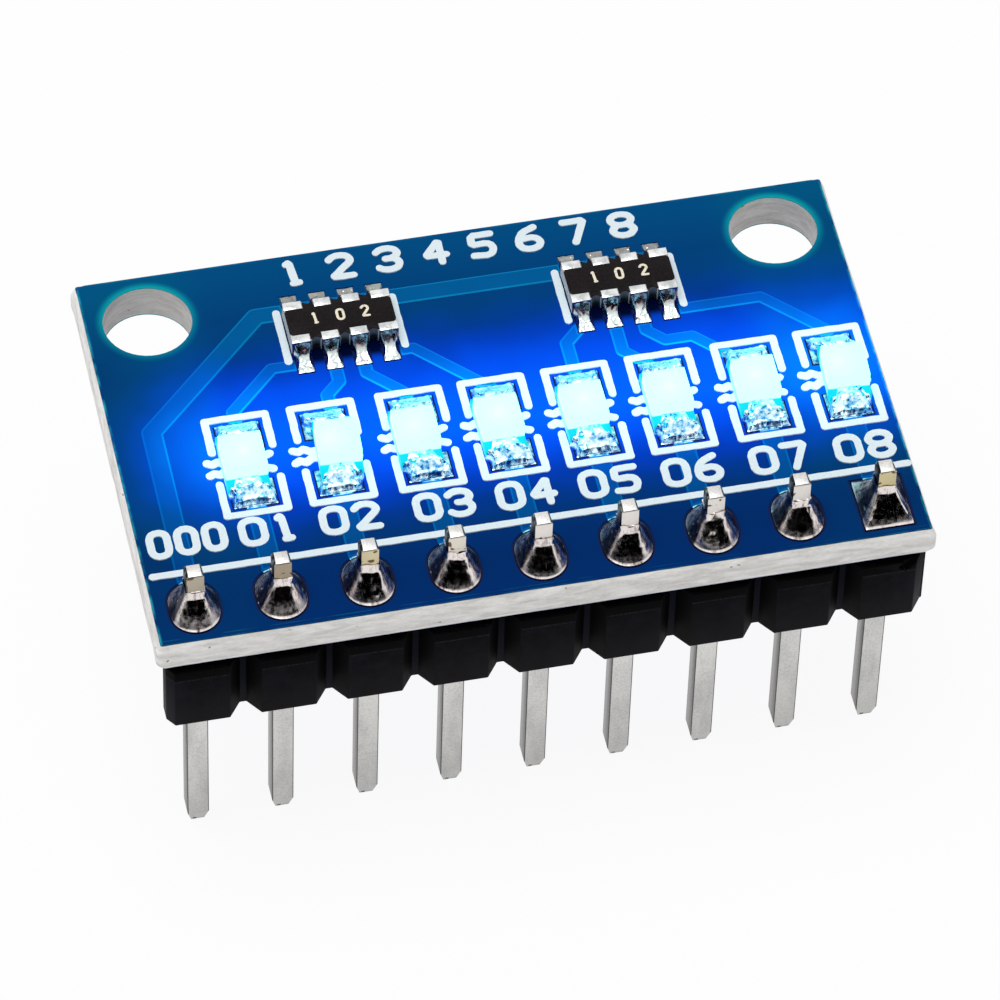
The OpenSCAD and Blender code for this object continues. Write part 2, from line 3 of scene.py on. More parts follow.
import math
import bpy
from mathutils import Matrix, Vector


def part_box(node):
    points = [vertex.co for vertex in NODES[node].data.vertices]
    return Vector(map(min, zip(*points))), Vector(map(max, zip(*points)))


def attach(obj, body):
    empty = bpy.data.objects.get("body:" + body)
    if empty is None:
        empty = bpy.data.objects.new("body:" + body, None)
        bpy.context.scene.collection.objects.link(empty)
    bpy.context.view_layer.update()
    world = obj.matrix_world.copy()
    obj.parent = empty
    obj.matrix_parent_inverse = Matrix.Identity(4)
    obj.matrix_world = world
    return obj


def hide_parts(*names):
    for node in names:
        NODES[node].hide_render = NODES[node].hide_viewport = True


bl_info = {
    "name": "LED Indicator Module",
    "version": (1, 0, 0),
    "blender": (4, 5, 0),
    "location": "3D View > Sidebar > LED Module",
    "description": "Builds the looks of a small LED indicator board round its CAD model",
    "category": "Object",
}

import bmesh
import bpy
from bpy.props import (
    FloatProperty,
    FloatVectorProperty,
    IntProperty,
    PointerProperty,
    StringProperty,
)
from mathutils import Matrix, Vector, noise
from mathutils.geometry import delaunay_2d_cdt

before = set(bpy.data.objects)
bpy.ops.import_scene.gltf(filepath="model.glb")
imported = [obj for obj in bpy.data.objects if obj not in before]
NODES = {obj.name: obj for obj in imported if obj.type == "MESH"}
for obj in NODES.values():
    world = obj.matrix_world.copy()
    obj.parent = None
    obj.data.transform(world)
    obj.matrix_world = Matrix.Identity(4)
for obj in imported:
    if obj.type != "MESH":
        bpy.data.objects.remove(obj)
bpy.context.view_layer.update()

MM = 0.001
# The scale that turns Object coordinates into millimetres
IN_MM = (1 / MM,) * 3

PINS, LEDS, ARRAYS, TERMINALS = 9, 8, 2, 4

# Sizes that no box of the frame gives, in millimetres: how far a mounting hole's middle lies from
# the board's edges and its radius, and a pin hole's radius before and after it was plated
HOLE_FROM_SIDE, HOLE_FROM_BACK, HOLE_RADIUS = 1.85, 1.75, 1.325
PIN_DRILL, PIN_BORE = 0.5125, 0.4825


# Numbers and colours


def linear(code):
    """An sRGB hex colour as the linear values that Blender works in."""
    parts = [int(code[k : k + 2], 16) / 255 for k in (1, 3, 5)]
    return tuple(p / 12.92 if p <= 0.04045 else ((p + 0.055) / 1.055) ** 2.4 for p in parts)


def opaque(colour):
    """A colour, as hex or linear values, with an alpha of 1."""
    return (*(linear(colour) if isinstance(colour, str) else colour), 1.0)


def grain(size):
    """The texture scale, on Object coordinates, whose features are about size millimetres."""
    return 1 / (size * MM)


def box_mm(node):
    """A CAD node's lowest and highest corners in millimetres."""
    low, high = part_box(node)
    return low / MM, high / MM


def middle(node):
    """The middle of a CAD node's box in millimetres."""
    low, high = box_mm(node)
    return (low + high) / 2


def mounting_hole():
    """The middle of the right mounting hole in millimetres. The left one mirrors it."""
    high = box_mm("top_solder_mask")[1]
    return high.x - HOLE_FROM_SIDE, high.y - HOLE_FROM_BACK


def between(low, high, share):
    return low + (high - low) * share


def smooth_step(low, high, value):
    share = min(max((value - low) / (high - low), 0), 1)
    return share * share * (3 - 2 * share)


def rough(x, y, z, seed):
    """Smooth noise from -1 to 1, the same on every run."""
    return noise.noise(Vector((x + 17.3 * seed, y - 9.1 * seed, z + 4.7 * seed)))


# Settings


def colour(name, description, code):
    return FloatVectorProperty(
        name=name, description=description, default=linear(code), subtype="COLOR", min=0, max=1
    )


def length(name, description, size):
    return FloatProperty(
        name=name, description=description, default=size * MM, unit="LENGTH", precision=5
    )


class BoardSettings(bpy.types.PropertyGroup):
    pale: colour("Pale glass", "Glass fibres that scatter the light", "#fbfaf8")
    dull: colour("Dull resin", "Resin between the fibres", "#dad8d5")
    speck: colour("Speck", "Burnt dust on the snapped edge", "#8d7b69")
    # The pad gap's colour is painted: shade in the gap, tinted by the LEDs' glow
    pad_gap_glow_and_shade: colour("Pad gap", "Laminate in the narrow gap round a pad", "#061a52")
    relief: length("Relief", "Depth of the roughness on the snapped edge", 0.05)
    fibre_spacing: length("Fibre spacing", "Distance between the torn fibres along an edge", 0.24)
    fibre_length: length("Fibre length", "Length of a torn fibre bundle", 0.62)
    fibre_radius: length("Fibre radius", "Radius of a torn fibre bundle", 0.024)
    seed: IntProperty(name="Seed", description="Seed of the fibres' places", default=4)


class MaskSettings(bpy.types.PropertyGroup):
    front: colour("Front mask", "Mask colour along the pins", "#002c69")
    middle: colour("Middle mask", "Mask colour behind the LEDs", "#00316e")
    back: colour("Back mask", "Mask colour along the back edge", "#004a7f")
    halo: colour("Hole halo", "Thin mask that lets light through round a hole", "#0a92ac")
    # The border colour is a painted highlight: the mask's edge catching the LEDs' light
    rim: colour("Border", "Mask's thin border on the laminate", "#2f9ec0")
    trace_edge: length("Trace edge", "Width of the sloped edge of a trace", 0.055)
    trace_drop: length("Trace slope", "Fall of the sloped edge of a trace", 0.018)
    glow_row: length("Glow row", "Distance from the pins to the brightest line", 5.7)
    glow_reach: length("Glow reach", "Distance at which the glow has died away", 5.0)
    glow_0: colour("Glow, row", "Light in the mask on the brightest line", "#0058ee")
    glow_1: colour("Glow, near", "Light in the mask beside the LEDs", "#0041e2")
    glow_2: colour("Glow, middle", "Light in the mask at half reach", "#0026a4")
    glow_3: colour("Glow, far", "Light in the mask near the end of its reach", "#001a64")


class LegendSettings(bpy.types.PropertyGroup):
    ink: colour("Ink", "White ink far from the LEDs", "#e0edf3")
    lit_ink: colour("Lit ink", "White ink in the LEDs' light", "#e6fafa")
    label_height: length("Label height", "Height of the numbers in front of the LEDs", 1.1)
    title_height: length("Title height", "Height of the numbers along the back edge", 1.06)
    stroke: length("Stroke", "Width of the print's thick lines", 0.23)
    wave: length("Wave", "Width of the waved lines beside an LED", 0.26)
    wobble: length("Wobble", "How far a printed edge strays", 0.014)


class HeaderSettings(bpy.types.PropertyGroup):
    plastic: colour("Plastic", "Black moulded housing", "#060509")
    scuffed: colour("Scuffed plastic", "Housing where it is rubbed", "#1d1c25")
    metal: colour("Pin plating", "Tin plating of the pins", "#dcdbd8")
    # The pin side colour is painted shade on the pins' side faces
    cut: colour("Pin side", "Pin's sides, rubbed in drawing", "#bdbcba")
    edge: length("Edge", "Radius of the housing's moulded edges", 0.035)
    pin_edge: length("Pin edge", "Radius of a pin's long edges", 0.012)


class JointSettings(bpy.types.PropertyGroup):
    metal: colour("Solder", "Hand-soldered tin alloy", "#e6dedb")
    flux: colour("Flux", "Streaks of flux left on a joint", "#6b5b54")
    hollow: FloatProperty(
        name="Hollow", default=1.15,
        description="How hollow a joint's slope is, where 1 is straight",
    )
    rim: length("Solder rim", "Solder left round the pin at the top of a joint", 0.035)
    lip: length("Lip", "Width of the flat lip at the front of a joint's foot", 0.03)
    uneven: length("Unevenness", "How far a joint's surface strays", 0.018)


class LedSettings(bpy.types.PropertyGroup):
    light: colour("Light", "Colour of the lit lens", "#86faff")
    strength: FloatProperty(name="Strength", description="Brightness of a lens", default=3.1)
    base: colour("Base", "Chip's white base, lit through", "#00525c")
    solder: colour("Solder", "Reflowed solder beside a lit chip", "#e4fffb")
    dim_solder: colour("Dim solder", "The same solder where it is dull", "#62b8dc")
    lens_edge: length("Lens edge", "Radius of the lens's edges", 0.03)


class ArraySettings(bpy.types.PropertyGroup):
    ceramic: colour("Ceramic", "Alumina body", "#d3d6d6")
    recess: colour("Recess", "Walls of the body between its terminals", "#4e4c55")
    glaze: colour("Glaze", "Black protective glaze", "#120e0f")
    marking: colour("Marking", "Cream marking ink", "#efe6cf")
    tin: colour("Terminals", "Tinned terminals", "#e9eceb")
    digit_height: length("Digit height", "Height of the figures on an array", 0.46)


class StageSettings(bpy.types.PropertyGroup):
    azimuth: FloatProperty(
        name="Azimuth", description="Camera's turn about the object", default=math.radians(-13.784),
        subtype="ANGLE",
    )
    elevation: FloatProperty(
        name="Elevation", description="Camera's height as an angle", default=math.radians(50.347),
        subtype="ANGLE",
    )
    roll: FloatProperty(
        name="Roll", description="Camera's turn about its own axis", default=math.radians(2.104),
        subtype="ANGLE",
    )
    distance: length("Distance", "From the camera to the point it looks at", 222.12)
    target: FloatVectorProperty(
        name="Target", description="Point that the camera looks at",
        default=(-0.722 * MM, 2.223 * MM, 3.75 * MM), subtype="TRANSLATION", unit="LENGTH",
    )
    zoom: FloatProperty(
        name="Zoom", description="Focal length as a share of the sensor's width", default=7.6624
    )
    sky: FloatProperty(name="Sky", description="Even light from all round", default=0.5)
    lamp: FloatProperty(
        name="Lamp", description="Power of the overhead soft box", default=0.6, unit="POWER"
    )
    wall_turn: FloatProperty(
        name="Wall turn", description="How far the dark wall reaches round to each side",
        default=math.radians(72), subtype="ANGLE",
    )
    wall_middle: FloatProperty(
        name="Wall middle", description="Where the middle of the dark wall stands",
        default=math.radians(-10), subtype="ANGLE",
    )
    wall_height: FloatProperty(
        name="Wall height", description="How high the dark wall's edge stands above the object",
        default=math.radians(29), subtype="ANGLE",
    )


class ModuleSettings(bpy.types.PropertyGroup):
    board: PointerProperty(type=BoardSettings)
    mask: PointerProperty(type=MaskSettings)
    legend: PointerProperty(type=LegendSettings)
    header: PointerProperty(type=HeaderSettings)
    joints: PointerProperty(type=JointSettings)
    leds: PointerProperty(type=LedSettings)
    arrays: PointerProperty(type=ArraySettings)
    stage: PointerProperty(type=StageSettings)


def settings():
    return bpy.context.scene.led_module


# Nodes and materials


def in_use(sockets):
    """The sockets that a node's properties leave switched on."""
    return [socket for socket in sockets if socket.enabled]


def add(tree, kind, *inputs, sockets=(), stops=(), **properties):
    """Add a node, which is a shader node unless kind says Node. inputs go to its sockets in order
    and sockets to those it names, past the ones that its properties switch off. A node given as an
    input stands for its result."""
    node = tree.nodes.new(kind if "Node" in kind else f"ShaderNode{kind}")
    for name, value in properties.items():
        setattr(node, name, value)
    given = [*zip(in_use(node.inputs), inputs)]
    given += [(node.inputs[name], value) for name, value in dict(sockets).items()]
    for socket, value in given:
        if isinstance(value, bpy.types.Node):
            value = in_use(value.outputs)[0]
        if isinstance(value, bpy.types.NodeSocket):
            tree.links.new(value, socket)
        else:
            socket.default_value = value
    for k, (place, shade) in enumerate(stops):
        ramp = node.color_ramp.elements
        stop = ramp[k] if k < 2 else ramp.new(place)
        stop.position, stop.color = place, opaque(shade)
    return node


def new_material(name, **sockets):
    """A material with one Principled shader, whose even values are set on its sockets."""
    mat = bpy.data.materials.new(name)
    mat.use_nodes = True
    tree = mat.node_tree
    tree.nodes.clear()
    values = {key.replace("_", " "): value for key, value in sockets.items()}
    shader = add(tree, "BsdfPrincipled", sockets=values)
    add(tree, "OutputMaterial", shader)
    return mat, tree, shader


def feed(tree, shader, **sockets):
    """Link nodes or their outputs to the shader's sockets."""
    for key, value in sockets.items():
        if isinstance(value, bpy.types.Node):
            value = in_use(value.outputs)[0]
        tree.links.new(value, shader.inputs[key.replace("_", " ")])


def object_place(tree, scale=(1, 1, 1)):
    """Object coordinates, stretched by scale."""
    place = add(tree, "TexCoord").outputs["Object"]
    return add(tree, "Mapping", place, sockets={"Scale": scale})


def facing(tree):
    """The three parts of the way that the surface faces."""
    normal = add(tree, "NewGeometry").outputs["Normal"]
    return add(tree, "SeparateXYZ", normal).outputs


def from_mounting_hole(tree, parts):
    """How far a place, split into parts, lies from the nearer mounting hole's middle, in mm."""
    side = add(tree, "Math", parts["X"], operation="ABSOLUTE")
    spot = add(tree, "CombineXYZ", side, parts["Y"])
    return add(tree, "VectorMath", spot, (*mounting_hole(), 0), operation="DISTANCE")


def glow_field():
    """A node group that gives the distance, in millimetres, from the brightest line of the mask,
    and the direction towards it."""
    name = "Distance from the lit row"
    if name in bpy.data.node_groups:
        return bpy.data.node_groups[name]
    first, last = middle("led_1_lens").x, middle(f"led_{LEDS}_lens").x
    row = settings().mask.glow_row / MM
    tree = bpy.data.node_groups.new(name, "ShaderNodeTree")
    tree.interface.new_socket("Distance", in_out="OUTPUT", socket_type="NodeSocketFloat")
    tree.interface.new_socket("Towards", in_out="OUTPUT", socket_type="NodeSocketVector")
    place = object_place(tree, IN_MM)
    stray = add(tree, "TexNoise", place, sockets={"Scale": 0.7, "Detail": 1.0})
    parts = add(tree, "SeparateXYZ", place).outputs
    nearest = add(tree, "Clamp", parts["X"], first, last)
    beside = add(tree, "Math", nearest, parts["X"], operation="SUBTRACT")
    across = add(tree, "Math", row, parts["Y"], operation="SUBTRACT")
    both = add(tree, "CombineXYZ", beside, across)
    far = add(tree, "VectorMath", both, operation="LENGTH")
    uneven = add(tree, "Math", stray, 0.8, -0.4, operation="MULTIPLY_ADD")
    total = add(tree, "Math", far, uneven, operation="ADD")
    towards = add(tree, "VectorMath", both, operation="NORMALIZE")
    add(tree, "NodeGroupOutput", total, towards)
    return tree


def glow_distance(tree):
    return add(tree, "Group", node_tree=glow_field()).outputs["Distance"]


# Meshes, in millimetres until they become a piece


def loft(bm, rings, close=False):
    """Join rings of equally many points with quads. close joins the last ring to the first."""
    made = [[bm.verts.new(p) for p in ring] for ring in rings]
    pairs = list(zip(made, made[1:])) + ([(made[-1], made[0])] if close else [])
    for low, high in pairs:
        for k in range(len(low)):
            n = (k + 1) % len(low)
            bm.faces.new((low[k], low[n], high[n], high[k]))


def fill(outlines, holes=()):
    """Triangles of what lies in any outline and in no hole, all drawn anticlockwise."""
    loops = [*outlines, *holes]
    points, faces = [], []
    for loop in loops:
        faces.append(list(range(len(points), len(points) + len(loop))))
        points += [Vector((p[0], p[1])) for p in loop]
    found, _, triangles, _, _, sources = delaunay_2d_cdt(points, [], faces, 0, 1e-6)
    kept = [t for t, s in zip(triangles, sources) if s and max(s) < len(outlines)]
    return found, kept


def plate(bm, outlines, z, up=True, holes=()):
    """A flat face of outlines less holes at height z."""
    points, triangles = fill(outlines, holes)
    verts = [bm.verts.new((p.x, p.y, z)) for p in points]
    for t in triangles:
        bm.faces.new([verts[k] for k in (t if up else reversed(t))])
    bmesh.ops.delete(bm, geom=[v for v in verts if not v.link_faces], context="VERTS")


def prism(bm, outlines, low, high):
    """A closed flat body between two heights, whose outline is the union of outlines."""
    points, triangles = fill(outlines)
    top = [bm.verts.new((p.x, p.y, high)) for p in points]
    bottom = [bm.verts.new((p.x, p.y, low)) for p in points]
    sides = {}
    for t in triangles:
        bm.faces.new([top[k] for k in t])
        bm.faces.new([bottom[k] for k in reversed(t)])
        for a, b in zip(t, t[1:] + t[:1]):
            sides[a, b] = True
    for a, b in sides:
        if (b, a) not in sides:
            bm.faces.new((top[a], bottom[a], bottom[b], top[b]))
    loose = [v for v in top + bottom if not v.link_faces]
    bmesh.ops.delete(bm, geom=loose, context="VERTS")


def cad_copy(node, flatten=True):
    """A copy of a CAD node's mesh in millimetres, with its corners merged."""
    bm = bmesh.new()
    bm.from_mesh(NODES[node].data)
    bmesh.ops.scale(bm, vec=IN_MM, verts=bm.verts)
    bmesh.ops.remove_doubles(bm, verts=bm.verts, dist=1e-4)
    if flatten:
        bmesh.ops.dissolve_limit(
            bm, angle_limit=math.radians(0.5), verts=bm.verts, edges=bm.edges
        )
    return bm


def new_object(name, data):
    made = bpy.data.objects.new(name, data)
    bpy.context.scene.collection.objects.link(made)
    return made


def piece(name, bm, materials, slot, nodes=(), smooth=None):
    """Make a mesh in millimetres a piece that stands for nodes. smooth is an angle in degrees."""
    bmesh.ops.scale(bm, vec=(MM,) * 3, verts=bm.verts)
    mesh = bpy.data.meshes.new(name)
    bm.to_mesh(mesh)
    bm.free()
    for mat in materials:
        mesh.materials.append(mat)
    if smooth is not None:
        mesh.shade_smooth()
        mesh.set_sharp_from_angle(angle=math.radians(smooth))
    obj = new_object(name, mesh)
    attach(obj, "root")
    if nodes:
        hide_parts(*nodes)
    return obj


def rounded(name, node, radius, mat, slot, segments=2, shape=None):
    """A copy of a CAD node, shaped first if need be, with its sharp edges rounded, which stands
    for the node."""
    bm = cad_copy(node)
    if shape:
        shape(bm)
    edges = [e for e in bm.edges if e.is_manifold and e.calc_face_angle(0) > math.radians(25)]
    bmesh.ops.bevel(
        bm, geom=edges, offset=radius, segments=segments, profile=0.5, affect="EDGES",
        clamp_overlap=True,
    )
    return piece(name, bm, [mat], slot, [node], smooth=40)


def dress(node, mat):
    """Give a CAD node that keeps its own mesh a material."""
    for slot in NODES[node].material_slots:
        slot.material = mat


def circle(x, y, radius, count):
    turns = [2 * math.pi * k / count for k in range(count)]
    return [(x + radius * math.cos(a), y + radius * math.sin(a)) for a in turns]


# The board


def laminate_finish():
    """FR-4, woven glass in epoxy, snapped from its panel: soft pale bands of torn fibre run along
    the edge, with a few brown specks in them."""
    s = settings().board
    mat, tree, shader = new_material(
        "FR-4 glass laminate, snapped", Roughness=0.65, Specular_IOR_Level=0.15
    )
    bands = add(tree, "TexNoise", object_place(tree, (1, 1, 5)),
                sockets={"Scale": grain(1.0), "Detail": 4.0, "Roughness": 0.55, "Distortion": 0.5})
    weave = add(tree, "TexNoise", object_place(tree, (1, 1, 2)),
                sockets={"Scale": grain(0.12), "Detail": 2.0})
    sum_ = add(tree, "Math", weave, 0.25, bands, operation="MULTIPLY_ADD")
    bare = add(tree, "ValToRGB", sum_, stops=[(0.45, s.dull), (0.78, s.pale), (0.6, "#ebe9e6")])
    dust = add(tree, "TexNoise", object_place(tree, (1, 1, 1.6)),
               sockets={"Scale": grain(0.3), "Detail": 1.0})
    specks = add(tree, "MapRange", dust, sockets={"From Min": 0.75, "From Max": 0.81})
    edge = add(tree, "Mix", specks, bare, opaque(s.speck), data_type="RGBA")
    # The top face shows only in the narrow gaps round the pads. Its colour there is painted light
    # and
    # shade: the shade in the gap, tinted by the LEDs' blue glow and darkest before the arrays.
    # row is the distance from the pins in centimetres
    flat = add(tree, "Math", facing(tree)["Z"], 0.9, operation="GREATER_THAN")
    row = add(tree, "SeparateXYZ", object_place(tree, (0.1 / MM,) * 3)).outputs["Y"]
    gap = add(tree, "ValToRGB", row, stops=[
        (0.68, s.pad_gap_glow_and_shade), (1.0, "#04508a"), (0.79, "#0430a8"), (0.83, "#030e44"),
        (0.92, "#030e44")])
    bare = add(tree, "Mix", flat, edge, gap, data_type="RGBA")
    # The bored walls of the mounting holes are a little darker
    parts = add(tree, "SeparateXYZ", object_place(tree, IN_MM)).outputs
    bored = add(tree, "Math", from_mounting_hole(tree, parts), 1.45, operation="LESS_THAN")
    base = add(tree, "Mix", bored, bare, opaque("#e2e1e0"), data_type="RGBA", blend_type="MULTIPLY")
    relief = add(tree, "Bump", sockets={"Strength": 0.5, "Distance": 0.02 * MM, "Height": sum_})
    feed(tree, shader, Base_Color=base, Normal=relief)
    return mat


# The snapped edge from below, as height and how far it stands out of the top face's outline
EDGE_PROFILE = [(2.55, -0.1), (2.95, 0.15), (3.4, 0.15), (3.75, 0.0)]
# The heights over which the deeply torn middle of the edge sets in, and over which it ends
TORN_FROM, TORN_TO = (2.75, 2.98), (3.38, 3.6)
# How many points the outline has along its long and its short sides, and how many levels
SIDE_POINTS, EDGE_LEVELS = (230, 140), 26
# A corner's radius on the top face, and how much it grows with what stands out
CORNER, CORNER_GROWTH = 0.06, 0.9


def edge_reach(z):
    for (z0, r0), (z1, r1) in zip(EDGE_PROFILE, EDGE_PROFILE[1:]):
        if z <= z1:
            return between(r0, r1, (z - z0) / (z1 - z0))
    return EDGE_PROFILE[-1][1]


def edge_ring(z, face, relief):
    """The board's outline at height z, with round corners and fibres standing out along it."""
    low, high = face
    reach = edge_reach(z)
    radius = CORNER + CORNER_GROWTH * max(reach, 0)
    x0, x1 = low.x - reach + radius, high.x + reach - radius
    y0, y1 = low.y - reach + radius, high.y + reach - radius
    torn = smooth_step(*TORN_FROM, z) * (1 - smooth_step(*TORN_TO, z))
    depth = relief * between(0.3, 1, torn)
    ring, run = [], 0.0
    corners = [(x0, y0), (x1, y0), (x1, y1), (x0, y1)]
    for side, ((ax, ay), (bx, by)) in enumerate(zip(corners, corners[1:] + corners[:1])):
        long = math.hypot(bx - ax, by - ay)
        out = Vector(((0, -1), (1, 0), (0, 1), (-1, 0))[side])
        count = SIDE_POINTS[side % 2]
        for k in range(count + 1):
            t = k / count
            s = run + long * t
            fade = smooth_step(0, 0.4, min(t, 1 - t) * long)
            # Long and short fibres run along the edge, and here and there a chip is torn out
            fibre = 0.65 * rough(s * 0.8, z * 6, 0, 1) + 0.35 * rough(s * 2.4, z * 13, 0, 2)
            chip = max(rough(s * 0.9, z * 1.5, 0, 5) - 0.35, 0)
            inward = depth * fade * (0.5 + 0.5 * fibre + 1.2 * chip)
            x, y = between(ax, bx, t), between(ay, by, t)
            ring.append((x + out.x * (radius - inward), y + out.y * (radius - inward), z))
        run += long
        for k in range(1, 6):
            a = math.radians(90 * side - 90 + 90 * k / 6)
            ring.append((bx + radius * math.cos(a), by + radius * math.sin(a), z))
    return ring


class MODULE_OT_board(bpy.types.Operator):
    """Build the laminate with its snapped edges, holes and torn fibres, and finish the copper"""

    bl_idname = "led_module.board"
    bl_label = "Board"

    def execute(self, context):
        s = settings().board
        mask_low, mask_high = box_mm("top_solder_mask")
        bottom, top = box_mm("board")[0].z, box_mm("board")[1].z
        bm = bmesh.new()
        rings = [
            edge_ring(between(bottom, top, k / EDGE_LEVELS), (mask_low, mask_high), s.relief / MM)
            for k in range(EDGE_LEVELS + 1)
        ]
        loft(bm, rings)
        mount_x, mount_y = mounting_hole()
        holes = [circle(side * mount_x, mount_y, HOLE_RADIUS, 72) for side in (-1, 1)]
        holes += [circle(middle(f"pin_{i + 1}").x, 0, PIN_DRILL, 36) for i in range(PINS)]
        for hole in holes:
            loft(bm, [[(x, y, z) for x, y in hole] for z in (top, bottom)])
        plate(bm, [rings[-1]], top, True, holes)
        plate(bm, [rings[0]], bottom, False, holes)
        bmesh.ops.remove_doubles(bm, verts=bm.verts, dist=1e-5)
        laminate = laminate_finish()
        piece("snapped_laminate", bm, [laminate], "laminate", ["board"], smooth=50)
        self.fibres(laminate, (mask_low, mask_high))
        self.metal()
        return {"FINISHED"}

    def fibres(self, laminate, face):
        """Torn bundles of glass, laid along the four snapped edges by Geometry Nodes."""
        s = settings().board
        low, high = face
        # How far the lines lie outside the top face and end before its corners, and their height
        out, inset, z = 0.09, 0.45, 3.17
        x0, x1, y0, y1 = low.x - out, high.x + out, low.y - out, high.y + out
        ends = [
            ((x0 + inset, y0), (x1 - inset, y0)), ((x1, y0 + inset), (x1, y1 - inset)),
            ((x1 - inset, y1), (x0 + inset, y1)), ((x0, y1 - inset), (x0, y0 + inset)),
        ]
        path = bpy.data.meshes.new("fibre_path")
        points = [(x * MM, y * MM, z * MM) for pair in ends for x, y in pair]
        path.from_pydata(points, [(k, k + 1) for k in range(0, len(points), 2)], [])
        bundle = new_object("torn_fibres", path)
        tree = bpy.data.node_groups.new("Torn fibres", "GeometryNodeTree")
        sizes = {
            "Spacing": s.fibre_spacing, "Fibre Length": s.fibre_length,
            "Fibre Radius": s.fibre_radius, "Band": 0.26 * MM, "Depth": 0.02 * MM,
        }
        tree.interface.new_socket("Geometry", in_out="INPUT", socket_type="NodeSocketGeometry")
        for name in sizes:
            tree.interface.new_socket(name, in_out="INPUT", socket_type="NodeSocketFloat")
        tree.interface.new_socket("Seed", in_out="INPUT", socket_type="NodeSocketInt")
        tree.interface.new_socket("Material", in_out="INPUT", socket_type="NodeSocketMaterial")
        tree.interface.new_socket("Geometry", in_out="OUTPUT", socket_type="NodeSocketGeometry")
        given = add(tree, "NodeGroupInput").outputs
        line = add(tree, "GeometryNodeMeshToCurve", given["Geometry"])
        along = add(tree, "GeometryNodeCurveToPoints", line, mode="LENGTH",
                    sockets={"Length": given["Spacing"]})
        lift = add(tree, "CombineXYZ", given["Depth"], given["Depth"], given["Band"])
        drop = add(tree, "VectorMath", lift, operation="SCALE", sockets={"Scale": -1.0})
        stray = add(tree, "FunctionNodeRandomValue", drop, lift, data_type="FLOAT_VECTOR",
                    sockets={"Seed": given["Seed"]})
        moved = add(tree, "GeometryNodeSetPosition", along, sockets={"Offset": stray})
        rod = add(tree, "GeometryNodeMeshCylinder",
                  sockets={"Vertices": 5, "Radius": given["Fibre Radius"],
                           "Depth": given["Fibre Length"]})
        size = add(tree, "FunctionNodeRandomValue", (0.5, 0.5, 0.3), (1.1, 1.1, 1.2),
                   data_type="FLOAT_VECTOR", sockets={"Seed": given["Seed"]})
        laid = add(tree, "GeometryNodeInstanceOnPoints", moved,
                   sockets={"Instance": rod, "Rotation": along.outputs["Rotation"], "Scale": size})
        real = add(tree, "GeometryNodeRealizeInstances", laid)
        done = add(tree, "GeometryNodeSetMaterial", real, sockets={"Material": given["Material"]})
        add(tree, "NodeGroupOutput", done)
        modifier = bundle.modifiers.new("Torn fibres", "NODES")
        modifier.node_group = tree
        values = {**sizes, "Seed": s.seed, "Material": laminate}
        for item in tree.interface.items_tree:
            if item.in_out == "INPUT" and item.name in values:
                modifier[item.identifier] = values[item.name]
        evaluated = bundle.evaluated_get(bpy.context.evaluated_depsgraph_get())
        mesh = bpy.data.meshes.new_from_object(evaluated)
        if not mesh.polygons:
            raise RuntimeError("the fibres came out empty")
        bundle.modifiers.clear()
        bundle.data = mesh
        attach(bundle, "root")

    def metal(self):
        """The copper foil's pads and the lands of the pin holes, both dipped in tin."""
        # The pads' blue and cyan tones are the LEDs' light painted on the tin; the lands keep the
        # tin's own greys
        for node, dark, light, axis, start, behind in (
            ("top_copper", "#2f7fb4", "#a5e6ee", "Y", 7.2, "#0c1c60"),
            ("pin_lands", "#b9b6b2", "#e6e4e0", "Z", 3.0, "#0a1230"),
        ):
            tinned, tree, shader = new_material(f"Hot-dipped tin on copper, {node}", Metallic=1.0)
            spots = add(tree, "TexNoise", object_place(tree), sockets={"Scale": grain(0.15)})
            lit = add(tree, "ValToRGB", spots, stops=[(0.35, dark), (0.65, light)])
            # Painted shade: the arrays shade their own pads, and the lands' upper rings darken to
            # deep navy round the joints
            along = add(tree, "SeparateXYZ", object_place(tree)).outputs[axis]
            past = add(tree, "MapRange", along,
                       sockets={"From Min": start * MM, "From Max": (start + 0.5) * MM})
            shaded_tin = add(tree, "Mix", past, lit, opaque(behind), data_type="RGBA")
            gloss = add(tree, "MapRange", spots, sockets={"To Min": 0.2, "To Max": 0.45})
            feed(tree, shader, Base_Color=shaded_tin, Roughness=gloss)
            dress(node, tinned)


# The solder mask


